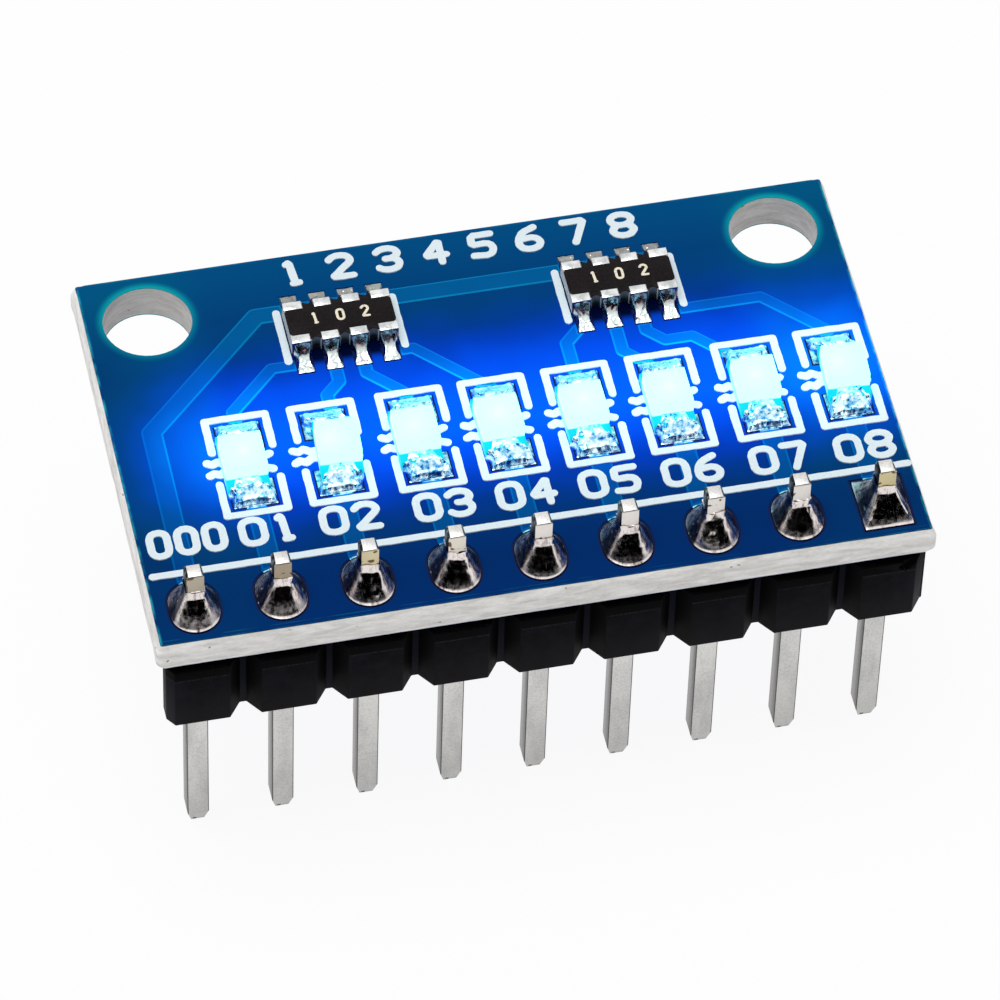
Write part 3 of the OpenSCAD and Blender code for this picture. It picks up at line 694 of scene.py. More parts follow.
def halo_and_lit_border(tree, place, parts, side):
    """Two shares: how far the mask has grown thin round a mounting hole and lets light through, and
    a painted highlight in a broken line along the board's border, where the mask's edge catches the
    LEDs' light. side is how far off the middle it lies."""
    low, high = box_mm("top_solder_mask")
    ring = add(tree, "MapRange", from_mounting_hole(tree, parts), interpolation_type="SMOOTHSTEP",
               sockets={"From Min": 1.27, "From Max": 1.6, "To Min": 1.0, "To Max": 0.0})
    rear = add(tree, "MapRange", parts["Y"], sockets={
        "From Min": high.y - 2.6, "From Max": high.y - 0.6, "To Min": 0.38, "To Max": 1.0})
    halo = add(tree, "Math", ring, rear, operation="MULTIPLY")
    # The distances to the board's edges; the border is narrowest along the pins
    beside = add(tree, "Math", high.x, side, operation="SUBTRACT")
    behind = add(tree, "Math", high.y, parts["Y"], operation="SUBTRACT")
    before = add(tree, "Math", parts["Y"], low.y, operation="SUBTRACT")
    thinner = add(tree, "Math", before, 2.5, operation="MULTIPLY")
    ends = add(tree, "Math", behind, thinner, operation="MINIMUM")
    borders = [
        add(tree, "MapRange", from_edge,
            sockets={"From Min": 0.02, "From Max": 0.08, "To Min": most, "To Max": 0.0})
        for from_edge, most in ((beside, 0.75), (ends, 0.22))
    ]
    line = add(tree, "Math", *borders, operation="MAXIMUM")
    broken = add(tree, "TexNoise", place, sockets={"Scale": 1.6, "Detail": 3.0})
    kept = add(tree, "MapRange", broken, sockets={"From Min": 0.38, "From Max": 0.62})
    # A second, faint line of the same painted highlight runs just inside the front border and fades
    # to the right
    inner = add(tree, "Math", before, 0.13, 0.014, operation="COMPARE")
    left = add(tree, "MapRange", parts["X"],
               sockets={"From Min": -6.0, "From Max": 4.0, "To Min": 0.2, "To Max": 0.07})
    faint = add(tree, "Math", inner, left, operation="MULTIPLY")
    lines = add(tree, "Math", line, faint, operation="MAXIMUM")
    return halo, add(tree, "Math", lines, kept, operation="MULTIPLY")


def array_shade(tree, place):
    """The arrays shade the mask just in front of them: nearly 0 there, and 1 in the open."""
    # Half the shaded field's sides, and how far its middle lies before the body's
    half, before = (1.45, 0.8, 0), 0.21
    flat = add(tree, "VectorMath", place, (1, 1, 0), operation="MULTIPLY")
    light = 1.0
    for k in range(1, ARRAYS + 1):
        spot = middle(f"array_{k}_body")
        off = add(tree, "VectorMath", flat, (spot.x, spot.y - before, 0), operation="SUBTRACT")
        away = add(tree, "VectorMath", off, operation="ABSOLUTE")
        past = add(tree, "VectorMath", away, half, operation="SUBTRACT")
        outside = add(tree, "VectorMath", past, (0, 0, 0), operation="MAXIMUM")
        gap = add(tree, "VectorMath", outside, operation="LENGTH")
        open_ = add(tree, "MapRange", gap, interpolation_type="SMOOTHSTEP",
                    sockets={"From Min": 0.02, "From Max": 0.34, "To Min": 0.06, "To Max": 1.0})
        light = add(tree, "Math", open_, light, operation="MULTIPLY")
    return light


def mask_finish(name, tint=(1, 1, 1), lit_tint=(1, 1, 1), lit_edge=None, greener=(1.25, 1.8)):
    """Blue solder mask, a thin epoxy coat: light from the LEDs spreads inside it, painted as its
    glow.
    Copper under it lightens its own colour by tint and its glow by lit_tint, and on a trace's edge
    by up to lit_edge where the edge faces the LEDs, a painted highlight. Past the last LEDs both
    turn greener by greener."""
    s = settings().mask
    low, high = box_mm("top_solder_mask")
    mat, tree, shader = new_material(
        name, Roughness=0.3, Specular_IOR_Level=0.015, Emission_Strength=1.0
    )
    place = object_place(tree, IN_MM)
    parts = add(tree, "SeparateXYZ", place).outputs
    depth = add(tree, "MapRange", parts["Y"], sockets={"From Min": low.y, "From Max": high.y})
    body = add(tree, "ValToRGB", depth, stops=[(0.1, s.front), (0.97, s.back), (0.72, s.middle)])
    side = add(tree, "Math", parts["X"], operation="ABSOLUTE")
    halo, rim = halo_and_lit_border(tree, place, parts, side)
    haloed = add(tree, "Mix", halo, body, opaque(s.halo), data_type="RGBA")
    # Paint the highlight along the board's border
    border_highlighted = add(tree, "Mix", rim, haloed, opaque(s.rim), data_type="RGBA")
    share = add(tree, "Math", glow_distance(tree), s.glow_reach / MM, operation="DIVIDE")
    glow = add(tree, "ValToRGB", share, stops=[
        (0.1, s.glow_0), (1.0, "#000000"), (0.32, s.glow_1), (0.52, s.glow_2), (0.67, s.glow_3),
        (0.82, "#001530"),
    ])
    light = array_shade(tree, place)
    outer = add(tree, "MapRange", side, interpolation_type="SMOOTHSTEP",
                sockets={"From Min": 7.4, "From Max": 9.0})
    lit = opaque(lit_tint)
    if lit_edge:
        towards = add(tree, "Group", node_tree=glow_field()).outputs["Towards"]
        normal = add(tree, "NewGeometry").outputs["Normal"]
        square = add(tree, "VectorMath", towards, normal, operation="DOT_PRODUCT")
        turned = add(tree, "MapRange", square, sockets={"From Min": -0.1, "From Max": 0.3})
        lit = add(tree, "Mix", turned, lit, opaque(lit_edge), data_type="RGBA")
    for socket, colours, tints, green in (
        ("Base_Color", border_highlighted, opaque(tint), greener[0]),
        ("Emission_Color", glow, lit, greener[1]),
    ):
        for amount, factor in ((1.0, tints), (1.0, light), (outer, (1, green, 1, 1))):
            colours = add(tree, "Mix", amount, colours, factor, data_type="RGBA",
                          blend_type="MULTIPLY", clamp_result=False)
        feed(tree, shader, **{socket: colours})
    cloud = add(tree, "TexNoise", place, sockets={"Scale": 3.0, "Detail": 3.0})
    relief = add(tree, "Bump", sockets={"Strength": 0.25, "Distance": 0.01 * MM, "Height": cloud})
    feed(tree, shader, Normal=relief)
    return mat


class MODULE_OT_mask(bpy.types.Operator):
    """Finish the solder mask, with sloped edges where it runs over a trace"""

    bl_idname = "led_module.mask"
    bl_label = "Solder mask"

    def execute(self, context):
        s = settings().mask
        top = box_mm("top_solder_mask")[1].z
        bm = cad_copy("top_solder_mask", flatten=False)
        ridge = [
            f for f in bm.faces
            if f.normal.z > 0.9 and abs(f.calc_center_median().z - top) < 1e-3
        ]
        for face in ridge:
            face.material_index = 1
        made = bmesh.ops.inset_region(
            bm, faces=ridge, thickness=s.trace_edge / MM, use_even_offset=True, use_boundary=True
        )
        slopes = set(made["faces"])
        for face in slopes:
            face.material_index = 2
        outer = {
            v for f in slopes for v in f.verts
            if any(g not in slopes and g.material_index == 0 for g in v.link_faces)
        }
        for vert in outer:
            vert.co.z -= s.trace_drop / MM
        skins = [
            mask_finish("Blue solder mask"),
            mask_finish("Blue solder mask over copper", (1, 1.95, 1.6), (1, 2.75, 1.02),
                        greener=(1.0, 1.0)),
            # On a trace's sloped edge a larger tint lightens the base colour as a painted highlight
            mask_finish("Blue solder mask on a trace's edge", (1, 3.6, 2.4), (1, 3.2, 1.05),
                        (1, 7.5, 1.2), greener=(1.0, 0.75)),
        ]
        piece("mask_over_traces", bm, skins, "top_mask", ["top_solder_mask"])
        dress("bottom_solder_mask", skins[0])
        return {"FINISHED"}


# The printed legend

# In millimetres: the row of the LEDs' pads and how far off the pins' middles it lies, the row of
# numbers at the board's middle and how it climbs, and the spacing of the points along a stroke
PAD_ROW, PAD_SHIFT = 4.92, -0.07
LABEL_ROW, LABEL_CLIMB = 2.3, -0.014
POINT_SPACING = 0.12
# How far each LED's pads, and the number in front of it, lie beside their places
LED_PLACE = (0, 0, 0.1, 0.02, 0, -0.02, 0.03, 0)
LABEL_PLACE = (0.13, -0.04, 0.18, 0.08, 0, -0.08, -0.01, -0.01)

# Each figure's strokes on a grid four wide and six high
FIGURES = {
    "0": [[(1, 0), (3, 0), (4, 1), (4, 5), (3, 6), (1, 6), (0, 5), (0, 1), (1, 0)]],
    "1": [[(0.9, 5.5), (1.5, 6), (1.9, 0)], [(1.5, 0), (2.6, 0.1)]],
    "2": [[(0, 5), (1, 6), (3, 6), (4, 5), (4, 4), (0, 0), (4, 0)]],
    "3": [
        [(0, 5.2), (1, 6), (3, 6), (4, 5), (4, 4), (3, 3.1), (1.6, 3.1)],
        [(3, 3.1), (4, 2.2), (4, 1), (3, 0), (1, 0), (0, 0.8)],
    ],
    "4": [[(3, 0), (3, 6), (0, 2), (4, 2)]],
    "5": [[(4, 6), (0.3, 6), (0.1, 3.3), (3, 3.5), (4, 2.6), (4, 1), (3, 0), (0.1, 0.3)]],
    "6": [
        [(3.4, 6), (1.2, 5), (0, 3), (0, 1), (1, 0), (3, 0), (4, 1), (4, 2.2), (3, 3.2), (0.3, 3)]
    ],
    "7": [[(0, 6), (4, 6), (1.6, 0)]],
    "8": [
        [(1, 3), (3, 3), (4, 4), (4, 5), (3, 6), (1, 6), (0, 5), (0, 4), (1, 3)],
        [(1, 3), (0, 2), (0, 1), (1, 0), (3, 0), (4, 1), (4, 2), (3, 3)],
    ],
}


def eased(points):
    """A stroke's points with its corners cut, so that it bends instead of turning sharply."""
    closed = points[0] == points[-1]
    made = [] if closed else [points[0]]
    for a, b in zip(points, points[1:]):
        a, b = Vector(a), Vector(b)
        cut = min(0.3, 0.5 / max((b - a).length, 1e-6))
        made += [tuple(a.lerp(b, cut)), tuple(a.lerp(b, 1 - cut))]
    return made + ([made[0]] if closed else [points[-1]])


def stroke_outlines(points, width, stray, seed):
    """Round-ended outlines of each straight run of a stroke, whose edges stray a little."""
    outlines = []
    for a, b in zip(points, points[1:]):
        a, b = Vector(a[:2]), Vector(b[:2])
        run = b - a
        if run.length < 1e-6:
            continue
        angle = math.atan2(run.y, run.x)
        steps = max(1, round(run.length / POINT_SPACING))
        outline = []
        for middle_, turn, way in ((b, -90, (a, b)), (a, 90, (b, a))):
            for k in range(steps):
                spot = way[0].lerp(way[1], k / steps)
                side = angle + math.radians(turn)
                outline.append(spot + Vector((math.cos(side), math.sin(side))) * width / 2)
            for k in range(9):
                side = angle + math.radians(turn + 180 * k / 8)
                outline.append(middle_ + Vector((math.cos(side), math.sin(side))) * width / 2)
        # The edge strays slowly, and half as far in short waves
        for p in outline:
            for far, fine, plane_x, plane_y in ((stray, 3, 0, 5), (stray * 0.5, 9, 9, 3)):
                x, y = p.x * fine, p.y * fine
                p += far * Vector((rough(x, y, plane_x, seed), rough(x, y, plane_y, seed)))
        outlines.append(outline)
    return outlines


def number(text, x, y, height, width, advance, stroke):
    """Strokes of a number whose middle is at x, y."""
    tall, wide = (height - stroke) / 6, (width - stroke) / 4
    strokes = []
    for n, figure in enumerate(text):
        left = x + (n - (len(text) - 1) / 2) * advance - 2 * wide
        for points in FIGURES.get(figure, []):
            strokes.append([(left + px * wide, y + (py - 3) * tall) for px, py in eased(points)])
    return strokes


def pad_place(i):
    """The middle of an LED's pads and printed lines."""
    return middle(f"pin_{i + 1}").x + PAD_SHIFT + LED_PLACE[i - 1], PAD_ROW


def label_row(x):
    """The printed row of numbers runs slightly askew."""
    return LABEL_ROW + LABEL_CLIMB * x


def ink_finish():
    """White screen-printing ink, matt and slightly grainy, which takes on the LEDs' light."""
    s = settings().legend
    mat, tree, shader = new_material("Screen-printed epoxy ink", Roughness=0.6,
                                     Specular_IOR_Level=0.2)
    near = add(tree, "MapRange", glow_distance(tree), interpolation_type="SMOOTHSTEP",
               sockets={"From Min": 1.4, "From Max": 3.6, "To Min": 1.0, "To Max": 0.0})
    shade = add(tree, "Mix", near, opaque(s.ink), opaque(s.lit_ink), data_type="RGBA")
    specks = add(tree, "TexNoise", object_place(tree),
                 sockets={"Scale": grain(0.07), "Detail": 3.0})
    dust = add(tree, "MapRange", specks, sockets={"To Min": 0.88, "To Max": 1.06})
    shaded = add(tree, "Mix", 1.0, shade, dust, data_type="RGBA", blend_type="MULTIPLY")
    relief = add(tree, "Bump", sockets={"Strength": 0.4, "Distance": 0.01 * MM, "Height": specks})
    through = add(tree, "Math", near, 0.16, operation="MULTIPLY")
    feed(tree, shader, Base_Color=shaded, Emission_Color=shaded, Emission_Strength=through,
         Normal=relief)
    return mat


class MODULE_OT_legend(bpy.types.Operator):
    """Print the brackets, waves, bars, rule and plain numbers"""

    bl_idname = "led_module.legend"
    bl_label = "Legend"

    def execute(self, context):
        s = settings().legend
        thick = s.stroke / MM
        strokes = self.lines(thick, s.wave / MM)
        strokes += [(points, thick) for points in self.numbers(thick)]
        outlines = []
        for points, width in strokes:
            outlines += stroke_outlines(points, width, s.wobble / MM, 3)
        bm = bmesh.new()
        prism(bm, outlines, box_mm("top_copper")[1].z, box_mm("legend")[1].z)
        piece("printed_legend", bm, [ink_finish()], "legend_ink", ["legend"])
        return {"FINISHED"}

    def lines(self, thick, waved):
        """The strokes round the LEDs, beside the arrays and behind the pins, with their widths."""
        # Round an LED: a waved line, and a bracket from its legs' ends to its back
        wave = [
            (-1.11, 0.24), (-0.97, 0.17), (-0.8, 0.25), (-0.62, 0.13), (0.45, 0.17), (0.74, 0.29)
        ]
        half, leg, back = 0.9, 0.605, 1.82
        bracket = [(-half, leg), (-half, back), (half, back), (half, leg)]
        # Beside an array: how far off its bars stand, and their ends. Across the board: the rule
        bar_off, bar_from, bar_to = 1.75, 1.02, 0.9
        rule_y, rule_inset = 1.295, 0.115
        strokes = []
        for i in range(1, LEDS + 1):
            x, y = pad_place(i)
            for side in (1, -1):
                strokes.append(([(x + px, y + side * py) for px, py in bracket], thick))
                strokes.append(([(x + px, y + side * py) for px, py in wave], waved))
        for k in range(1, ARRAYS + 1):
            spot = middle(f"array_{k}_body")
            for side in (-1, 1):
                x = spot.x + side * bar_off
                strokes.append(([(x, spot.y - bar_from), (x, spot.y + bar_to)], thick))
        low, high = box_mm("legend")
        rule = [(low.x + rule_inset, rule_y), (high.x - rule_inset, rule_y)]
        return strokes + [(rule, thick)]

    def numbers(self, thick):
        """The strokes of the plain numbers in front of the LEDs and along the back edge."""
        s = settings().legend
        tall, title_tall = s.label_height / MM, s.title_height / MM
        # Widths and steps: in front of the LEDs, in front of the first pin, and at the back
        label, first_label, title = (0.86, 0.96), (0.74, 0.81), (0.86, 1)
        first_x, title_x, title_y = -9.91, (-4.9, 5.1), 11.94
        strokes = []
        for i in range(1, LEDS + 1):
            x = middle(f"pin_{i + 1}").x + LABEL_PLACE[i - 1]
            strokes += number(f"0{i}", x, label_row(x), tall, *label, thick)
        strokes += number("000", first_x, label_row(first_x), tall, *first_label, thick)
        for i in range(LEDS):
            x = between(*title_x, i / (LEDS - 1))
            strokes += number(str(i + 1), x, title_y, title_tall, *title, thick)
        return strokes


# The pin header


def plastic_finish():
    """Glass-filled nylon, injection moulded: black, with a fine spark-eroded grain that greys
    where it was rubbed, above all at the strip's two snapped ends."""
    s = settings().header
    mat, tree, shader = new_material("Glass-filled nylon, moulded", Specular_IOR_Level=0.035)
    place = object_place(tree)
    pits = add(tree, "TexNoise", place, sockets={"Scale": grain(0.035), "Detail": 3.0})
    scuffs = add(tree, "TexNoise", place,
                 sockets={"Scale": grain(0.5), "Detail": 6.0, "Roughness": 0.7})
    parts = add(tree, "SeparateXYZ", place).outputs
    side = add(tree, "Math", parts["X"], operation="ABSOLUTE")
    ends = add(tree, "MapRange", side, sockets={
        "From Min": 10.2 * MM, "From Max": 11.3 * MM, "To Min": 0.0, "To Max": 0.22})
    rubbed = add(tree, "Math", scuffs, ends, operation="ADD")
    shade = add(tree, "ValToRGB", rubbed, stops=[(0.42, s.plastic), (0.95, s.scuffed)])
    # Little light comes under the board and into the notches between the cells
    under = add(tree, "MapRange", parts["Z"],
                sockets={"From Min": 2.02 * MM, "From Max": 2.07 * MM})
    normal = facing(tree)
    sideways = add(tree, "Math", normal["X"], operation="ABSOLUTE")
    turned = add(tree, "Math", sideways, 0.4, operation="GREATER_THAN")
    inner = add(tree, "Math", side, 10.9 * MM, operation="LESS_THAN")
    notch = add(tree, "Math", turned, inner, operation="MULTIPLY")
    dark = add(tree, "Math", under, notch, operation="MAXIMUM")
    # The lit board tints the steps that face the front behind the cells' corners
    forward = add(tree, "MapRange", normal["Y"], sockets={"From Min": -0.6, "From Max": -0.8})
    behind = add(tree, "Math", parts["Y"], -1.1 * MM, operation="GREATER_THAN")
    depth = add(tree, "Math", forward, behind, operation="MULTIPLY")
    # A painted highlight, broken here and there, runs along the cells' upper front edges
    edge = add(tree, "Math", parts["Z"], 2.0 * MM, 0.018 * MM, operation="COMPARE")
    highlight_dots = add(tree, "MapRange", pits, sockets={"From Min": 0.4, "From Max": 0.65, "To Max": 0.6})
    crest = add(tree, "Math", edge, highlight_dots, operation="MULTIPLY")
    edge_highlighted = add(tree, "Mix", crest, shade, opaque("#3c3c44"), data_type="RGBA")
    sunk = add(tree, "Mix", depth, edge_highlighted, opaque("#090c18"), data_type="RGBA")
    shaded = add(tree, "Mix", dark, sunk, opaque("#010103"), data_type="RGBA")
    gloss = add(tree, "MapRange", scuffs, sockets={"To Min": 0.42, "To Max": 0.66})
    relief = add(tree, "Bump", sockets={"Strength": 0.5, "Distance": 0.008 * MM, "Height": pits})
    feed(tree, shader, Base_Color=shaded, Roughness=gloss, Normal=relief)
    return mat


def beside_pin(tree, place):
    """How far a point lies beside the middle of the nearest pin, in place's unit."""
    first, second = middle("pin_1").x * MM, middle("pin_2").x * MM
    half = (second - first) / 2
    local = add(tree, "Math", add(tree, "SeparateXYZ", place).outputs["X"], first,
                operation="SUBTRACT")
    return add(tree, "Math", local, half, -half, operation="WRAP")


def pin_stain_and_side_shade(tree, place, parts):
    """What flux left above the joint: the brown film on the upright faces, with darker dots; and the
    painted shade, in streaks, on the side faces. The flux browned the first and the last pins most."""
    dots = add(tree, "TexNoise", place, sockets={"Scale": grain(0.22), "Detail": 0.0})
    dotted = add(tree, "MapRange", dots, sockets={"From Min": 0.68, "From Max": 0.72})
    along = add(tree, "Math", parts["X"], 0.05 / MM, 0.5, operation="MULTIPLY_ADD")
    browned = add(tree, "ValToRGB", along, stops=[
        (0.0, "#b7ae9d"), (1.0, "#d2c69c"), (0.12, "#a89b87"), (0.25, "#d8cca6"),
        (0.42, "#ece6e1"), (0.9, "#e6e1dc")])
    stain = add(tree, "Mix", dotted, browned, opaque("#6d5a48"), data_type="RGBA")
    streaks = add(tree, "TexNoise", object_place(tree, (1, 1, 0.15)),
                  sockets={"Scale": grain(0.14), "Detail": 2.0})
    return stain, add(tree, "ValToRGB", streaks,
                      stops=[(0.5, "#16151b"), (0.75, "#8d8a86")])


def pin_finish():
    """Tin-plated brass wire, drawn square: satin and finely speckled, with painted shade on its
    sides and along its edges, and yellowed by flux above the joint."""
    s = settings().header
    mat, tree, shader = new_material("Tin-plated brass pin, drawn", Metallic=1.0)
    place = object_place(tree)
    parts = add(tree, "SeparateXYZ", place).outputs
    specks = add(tree, "TexNoise", place, sockets={"Scale": grain(0.05), "Detail": 2.0})
    clouds = add(tree, "TexNoise", object_place(tree, (3, 3, 1)),
                 sockets={"Scale": grain(1.6), "Detail": 2.0})
    fine = add(tree, "Math", specks, 0.45, clouds, operation="MULTIPLY_ADD")
    drawn = add(tree, "ValToRGB", fine, stops=[(0.45, "#c6c5c4"), (0.85, s.metal)])
    beside = add(tree, "Math", beside_pin(tree, place), operation="ABSOLUTE")
    off = add(tree, "Math", beside, 1 / MM, operation="MULTIPLY")
    # Painted shade: a dark line along the front face's edges, and the pin side colour on the side
    # faces
    sides = add(tree, "ValToRGB", off,
                stops=[(0.286, "#ffffff"), (0.319, s.cut), (0.3, "#5c5b5a"), (0.314, "#5c5b5a")])
    # The pins darken towards their tips
    low = add(tree, "MapRange", parts["Z"],
              sockets={"From Min": -6 * MM, "From Max": -1 * MM, "To Min": 0.72, "To Max": 1.0})
    normal = facing(tree)
    upright = add(tree, "Math", normal["Z"], 0.5, operation="LESS_THAN")
    sideways = add(tree, "Math", normal["X"], operation="ABSOLUTE")
    turned = add(tree, "Math", sideways, 0.6, operation="GREATER_THAN")
    above = add(tree, "Math", parts["Z"], 4.3 * MM, operation="GREATER_THAN")
    stained = add(tree, "Math", upright, above, operation="MULTIPLY")
    # Painted shade: a side face is darkest beside its front edge
    back = add(tree, "Math", parts["Y"], 1 / MM, 0.5, operation="MULTIPLY_ADD")
    depth = add(tree, "ValToRGB", back,
                stops=[(0.2, "#6b6a69"), (0.62, "#ffffff"), (0.36, "#8d8c8a")])
    side = add(tree, "Math", beside, 0.314 * MM, operation="GREATER_THAN")
    stain, side_shade_streaks = pin_stain_and_side_shade(tree, place, parts)
    # The side faces above the joint take the streaked painted shade
    hidden = add(tree, "Math", turned, above, operation="MULTIPLY")
    # The cropped tip has a dark burr beside its middle, and the tin is finely speckled
    burr = add(tree, "Math", beside_pin(tree, place), -0.1 * MM, 0.055 * MM, operation="COMPARE")
    tip = add(tree, "Math", parts["Z"], -5.83 * MM, operation="LESS_THAN")
    burred = add(tree, "Math", burr, tip, operation="MULTIPLY")
    peppered = add(tree, "ValToRGB", specks, stops=[(0.42, "#b2b1b0"), (0.52, "#ffffff")])
    shade = drawn
    for other, amount, way in (
        (sides, 1.0, "MULTIPLY"), (depth, side, "MULTIPLY"), (low, 1.0, "MULTIPLY"),
        (peppered, 0.2, "MULTIPLY"), (stain, stained, "MIX"), (side_shade_streaks, hidden, "MIX"),
        (opaque("#2c2a2a"), burred, "MIX"),
    ):
        shade = add(tree, "Mix", amount, shade, other, data_type="RGBA", blend_type=way)
    gloss = add(tree, "MapRange", specks, sockets={"To Min": 0.22, "To Max": 0.5})
    relief = add(tree, "Bump", sockets={"Strength": 0.3, "Distance": 0.006 * MM, "Height": specks})
    feed(tree, shader, Base_Color=shade, Roughness=gloss, Normal=relief)
    return mat


class MODULE_OT_header(bpy.types.Operator):
    """Round the moulded housing's edges and the pins' edges, and finish both"""

    bl_idname = "led_module.header"
    bl_label = "Pin header"

    def execute(self, context):
        s = settings().header
        rounded("moulded_housing", "header_housing", s.edge / MM, plastic_finish(),
                "header_plastic")
        metal = pin_finish()
        for i in range(1, PINS + 1):
            rounded(f"drawn_pin_{i}", f"pin_{i}", s.pin_edge / MM, metal, "pin_metal",
                    shape=self.square_head)
        return {"FINISHED"}

    @staticmethod
    def square_head(bm):
        """A cropped pin's front face goes nearly straight up to the top."""
        bevel, bevel_left, forward = 0.2, 0.04, 1.28
        top = max(v.co.z for v in bm.verts)
        front = [v for v in bm.verts if v.co.z > top - bevel and v.co.y < 0]
        for vert in front:
            if vert.co.z > top - 0.01:
                vert.co.y *= forward
            else:
                vert.co.z = top - bevel_left


# The pins' solder joints


def box_reach(angle, half_x, half_y):
    """How far a box reaches from its middle in a direction."""
    return min(half_x / max(abs(math.cos(angle)), 1e-3), half_y / max(abs(math.sin(angle)), 1e-3))


def round_reach(angle, half_x, half_y):
    """The same for a box whose ends along Y are half circles."""
    straight = half_y - half_x
    side = half_x / max(abs(math.cos(angle)), 1e-3)
    if side * abs(math.sin(angle)) <= straight:
        return side
    return straight * abs(math.sin(angle)) + math.sqrt(
        half_x**2 - (straight * math.cos(angle)) ** 2
    )


def solder_finish(name, shade, mottle, upright, low, high):
    """Tin alloy that froze in air: bright and smooth, with dull patches where flux lay on it. Its
    steep faces on the pins' side turn to the colour upright, a painted reflection, from height low
    to high."""
    mat, tree, shader = new_material(name, Metallic=1.0)
    place = object_place(tree)
    patches = add(tree, "TexNoise", place,
                  sockets={"Scale": grain(0.35), "Detail": 5.0, "Roughness": 0.6})
    grains = add(tree, "TexNoise", place, sockets={"Scale": grain(mottle), "Detail": 3.0})
    tone = add(tree, "ValToRGB", patches, stops=[(0.3, "#b4b8ba"), (0.6, shade)])
    normal = facing(tree)
    steep = add(tree, "MapRange", normal["Z"],
                sockets={"From Min": 0.8, "From Max": 0.9, "To Min": 1.0, "To Max": 0.0})
    towards = add(tree, "MapRange", normal["Y"],
                  sockets={"From Min": -0.1, "From Max": 0.2, "To Min": 1.0, "To Max": 0.1})
    parts = add(tree, "SeparateXYZ", place).outputs
    above = add(tree, "MapRange", parts["Z"], sockets={
        "From Min": low * MM, "From Max": high * MM, "To Min": -0.35, "To Max": 0.9})
    spread = add(tree, "Math", patches, 0.7, above, operation="MULTIPLY_ADD", use_clamp=True)
    upper = add(tree, "Math", steep, spread, operation="MULTIPLY")
    dark = add(tree, "Math", upper, towards, operation="MULTIPLY")
    # Painted reflection: the steep faces towards the pins take the upright colour
    shaded = add(tree, "Mix", dark, tone, opaque(upright), data_type="RGBA")
    # The pads behind the arrays turn a little darker and browner
    rear = add(tree, "MapRange", parts["Y"],
               sockets={"From Min": 10.34 * MM, "From Max": 10.42 * MM})
    toned = add(tree, "Mix", rear, shaded, opaque("#b5adab"), data_type="RGBA",
                blend_type="MULTIPLY")
    gloss = add(tree, "MapRange", patches,
                sockets={"From Min": 0.35, "From Max": 0.7, "To Min": 0.1, "To Max": 0.3})
    relief = add(tree, "Bump", sockets={"Strength": 0.5, "Distance": 0.012 * MM, "Height": grains})
    feed(tree, shader, Base_Color=toned, Roughness=gloss, Normal=relief)
    return mat


def joint_painted_reflection(tree, place, rear, streaks):
    """How much painted dark reflection covers a joint: none on its front, most on its flanks and
    less at the back, with ragged streaky edges and clear drops. rear goes from -1 at a joint's front
    to 1 at its back."""
    ragged = add(tree, "Math", streaks, 0.6, rear, operation="MULTIPLY_ADD")
    behind = add(tree, "MapRange", ragged,
                 sockets={"From Min": -0.2, "From Max": -0.08, "To Max": 0.93})
    drops = add(tree, "TexNoise", place, sockets={"Scale": grain(0.16), "Detail": 1.0})
    clear = add(tree, "MapRange", drops,
                sockets={"From Min": 0.66, "From Max": 0.72, "To Min": 1.0, "To Max": 0.0})
    fainter_behind = add(tree, "MapRange", rear,
                  sockets={"From Min": 0.25, "From Max": 0.7, "To Min": 1.0, "To Max": 0.3})
    reflected_share = add(tree, "Math", behind, clear, operation="MULTIPLY")
    return add(tree, "Math", reflected_share, fainter_behind, operation="MULTIPLY")


def joint_film(tree, parts, rear, grains):
    """How dull a joint is: everywhere but on its front, more at its foot, and mottled at the feet
    of the first joints and at the left of the seventh's."""
    dull = add(tree, "MapRange", rear,
               sockets={"From Min": -0.8, "From Max": -0.62, "To Max": 0.14})
    foot = add(tree, "MapRange", parts["Z"],
               sockets={"From Min": 3.8 * MM, "From Max": 4.0 * MM, "To Min": 0.2, "To Max": 0.0})
    first = add(tree, "MapRange", parts["X"],
                sockets={"From Min": -7 * MM, "From Max": -5 * MM, "To Min": 1.0, "To Max": 0.0})
    mottled = add(tree, "MapRange", parts["Z"], sockets={
        "From Min": 3.95 * MM, "From Max": 4.2 * MM, "To Min": 0.42, "To Max": 0.0})
    seventh = add(tree, "Math", parts["X"], (middle("pin_7").x - 0.25) * MM, 0.3 * MM,
                  operation="COMPARE")
    some = add(tree, "Math", first, seventh, operation="MAXIMUM")
    most = add(tree, "Math", some, mottled, operation="MULTIPLY")
    mottle = add(tree, "Math", most, grains, operation="MULTIPLY")
    even = add(tree, "Math", dull, foot, operation="MAXIMUM")
    return add(tree, "Math", even, mottle, operation="MAXIMUM")


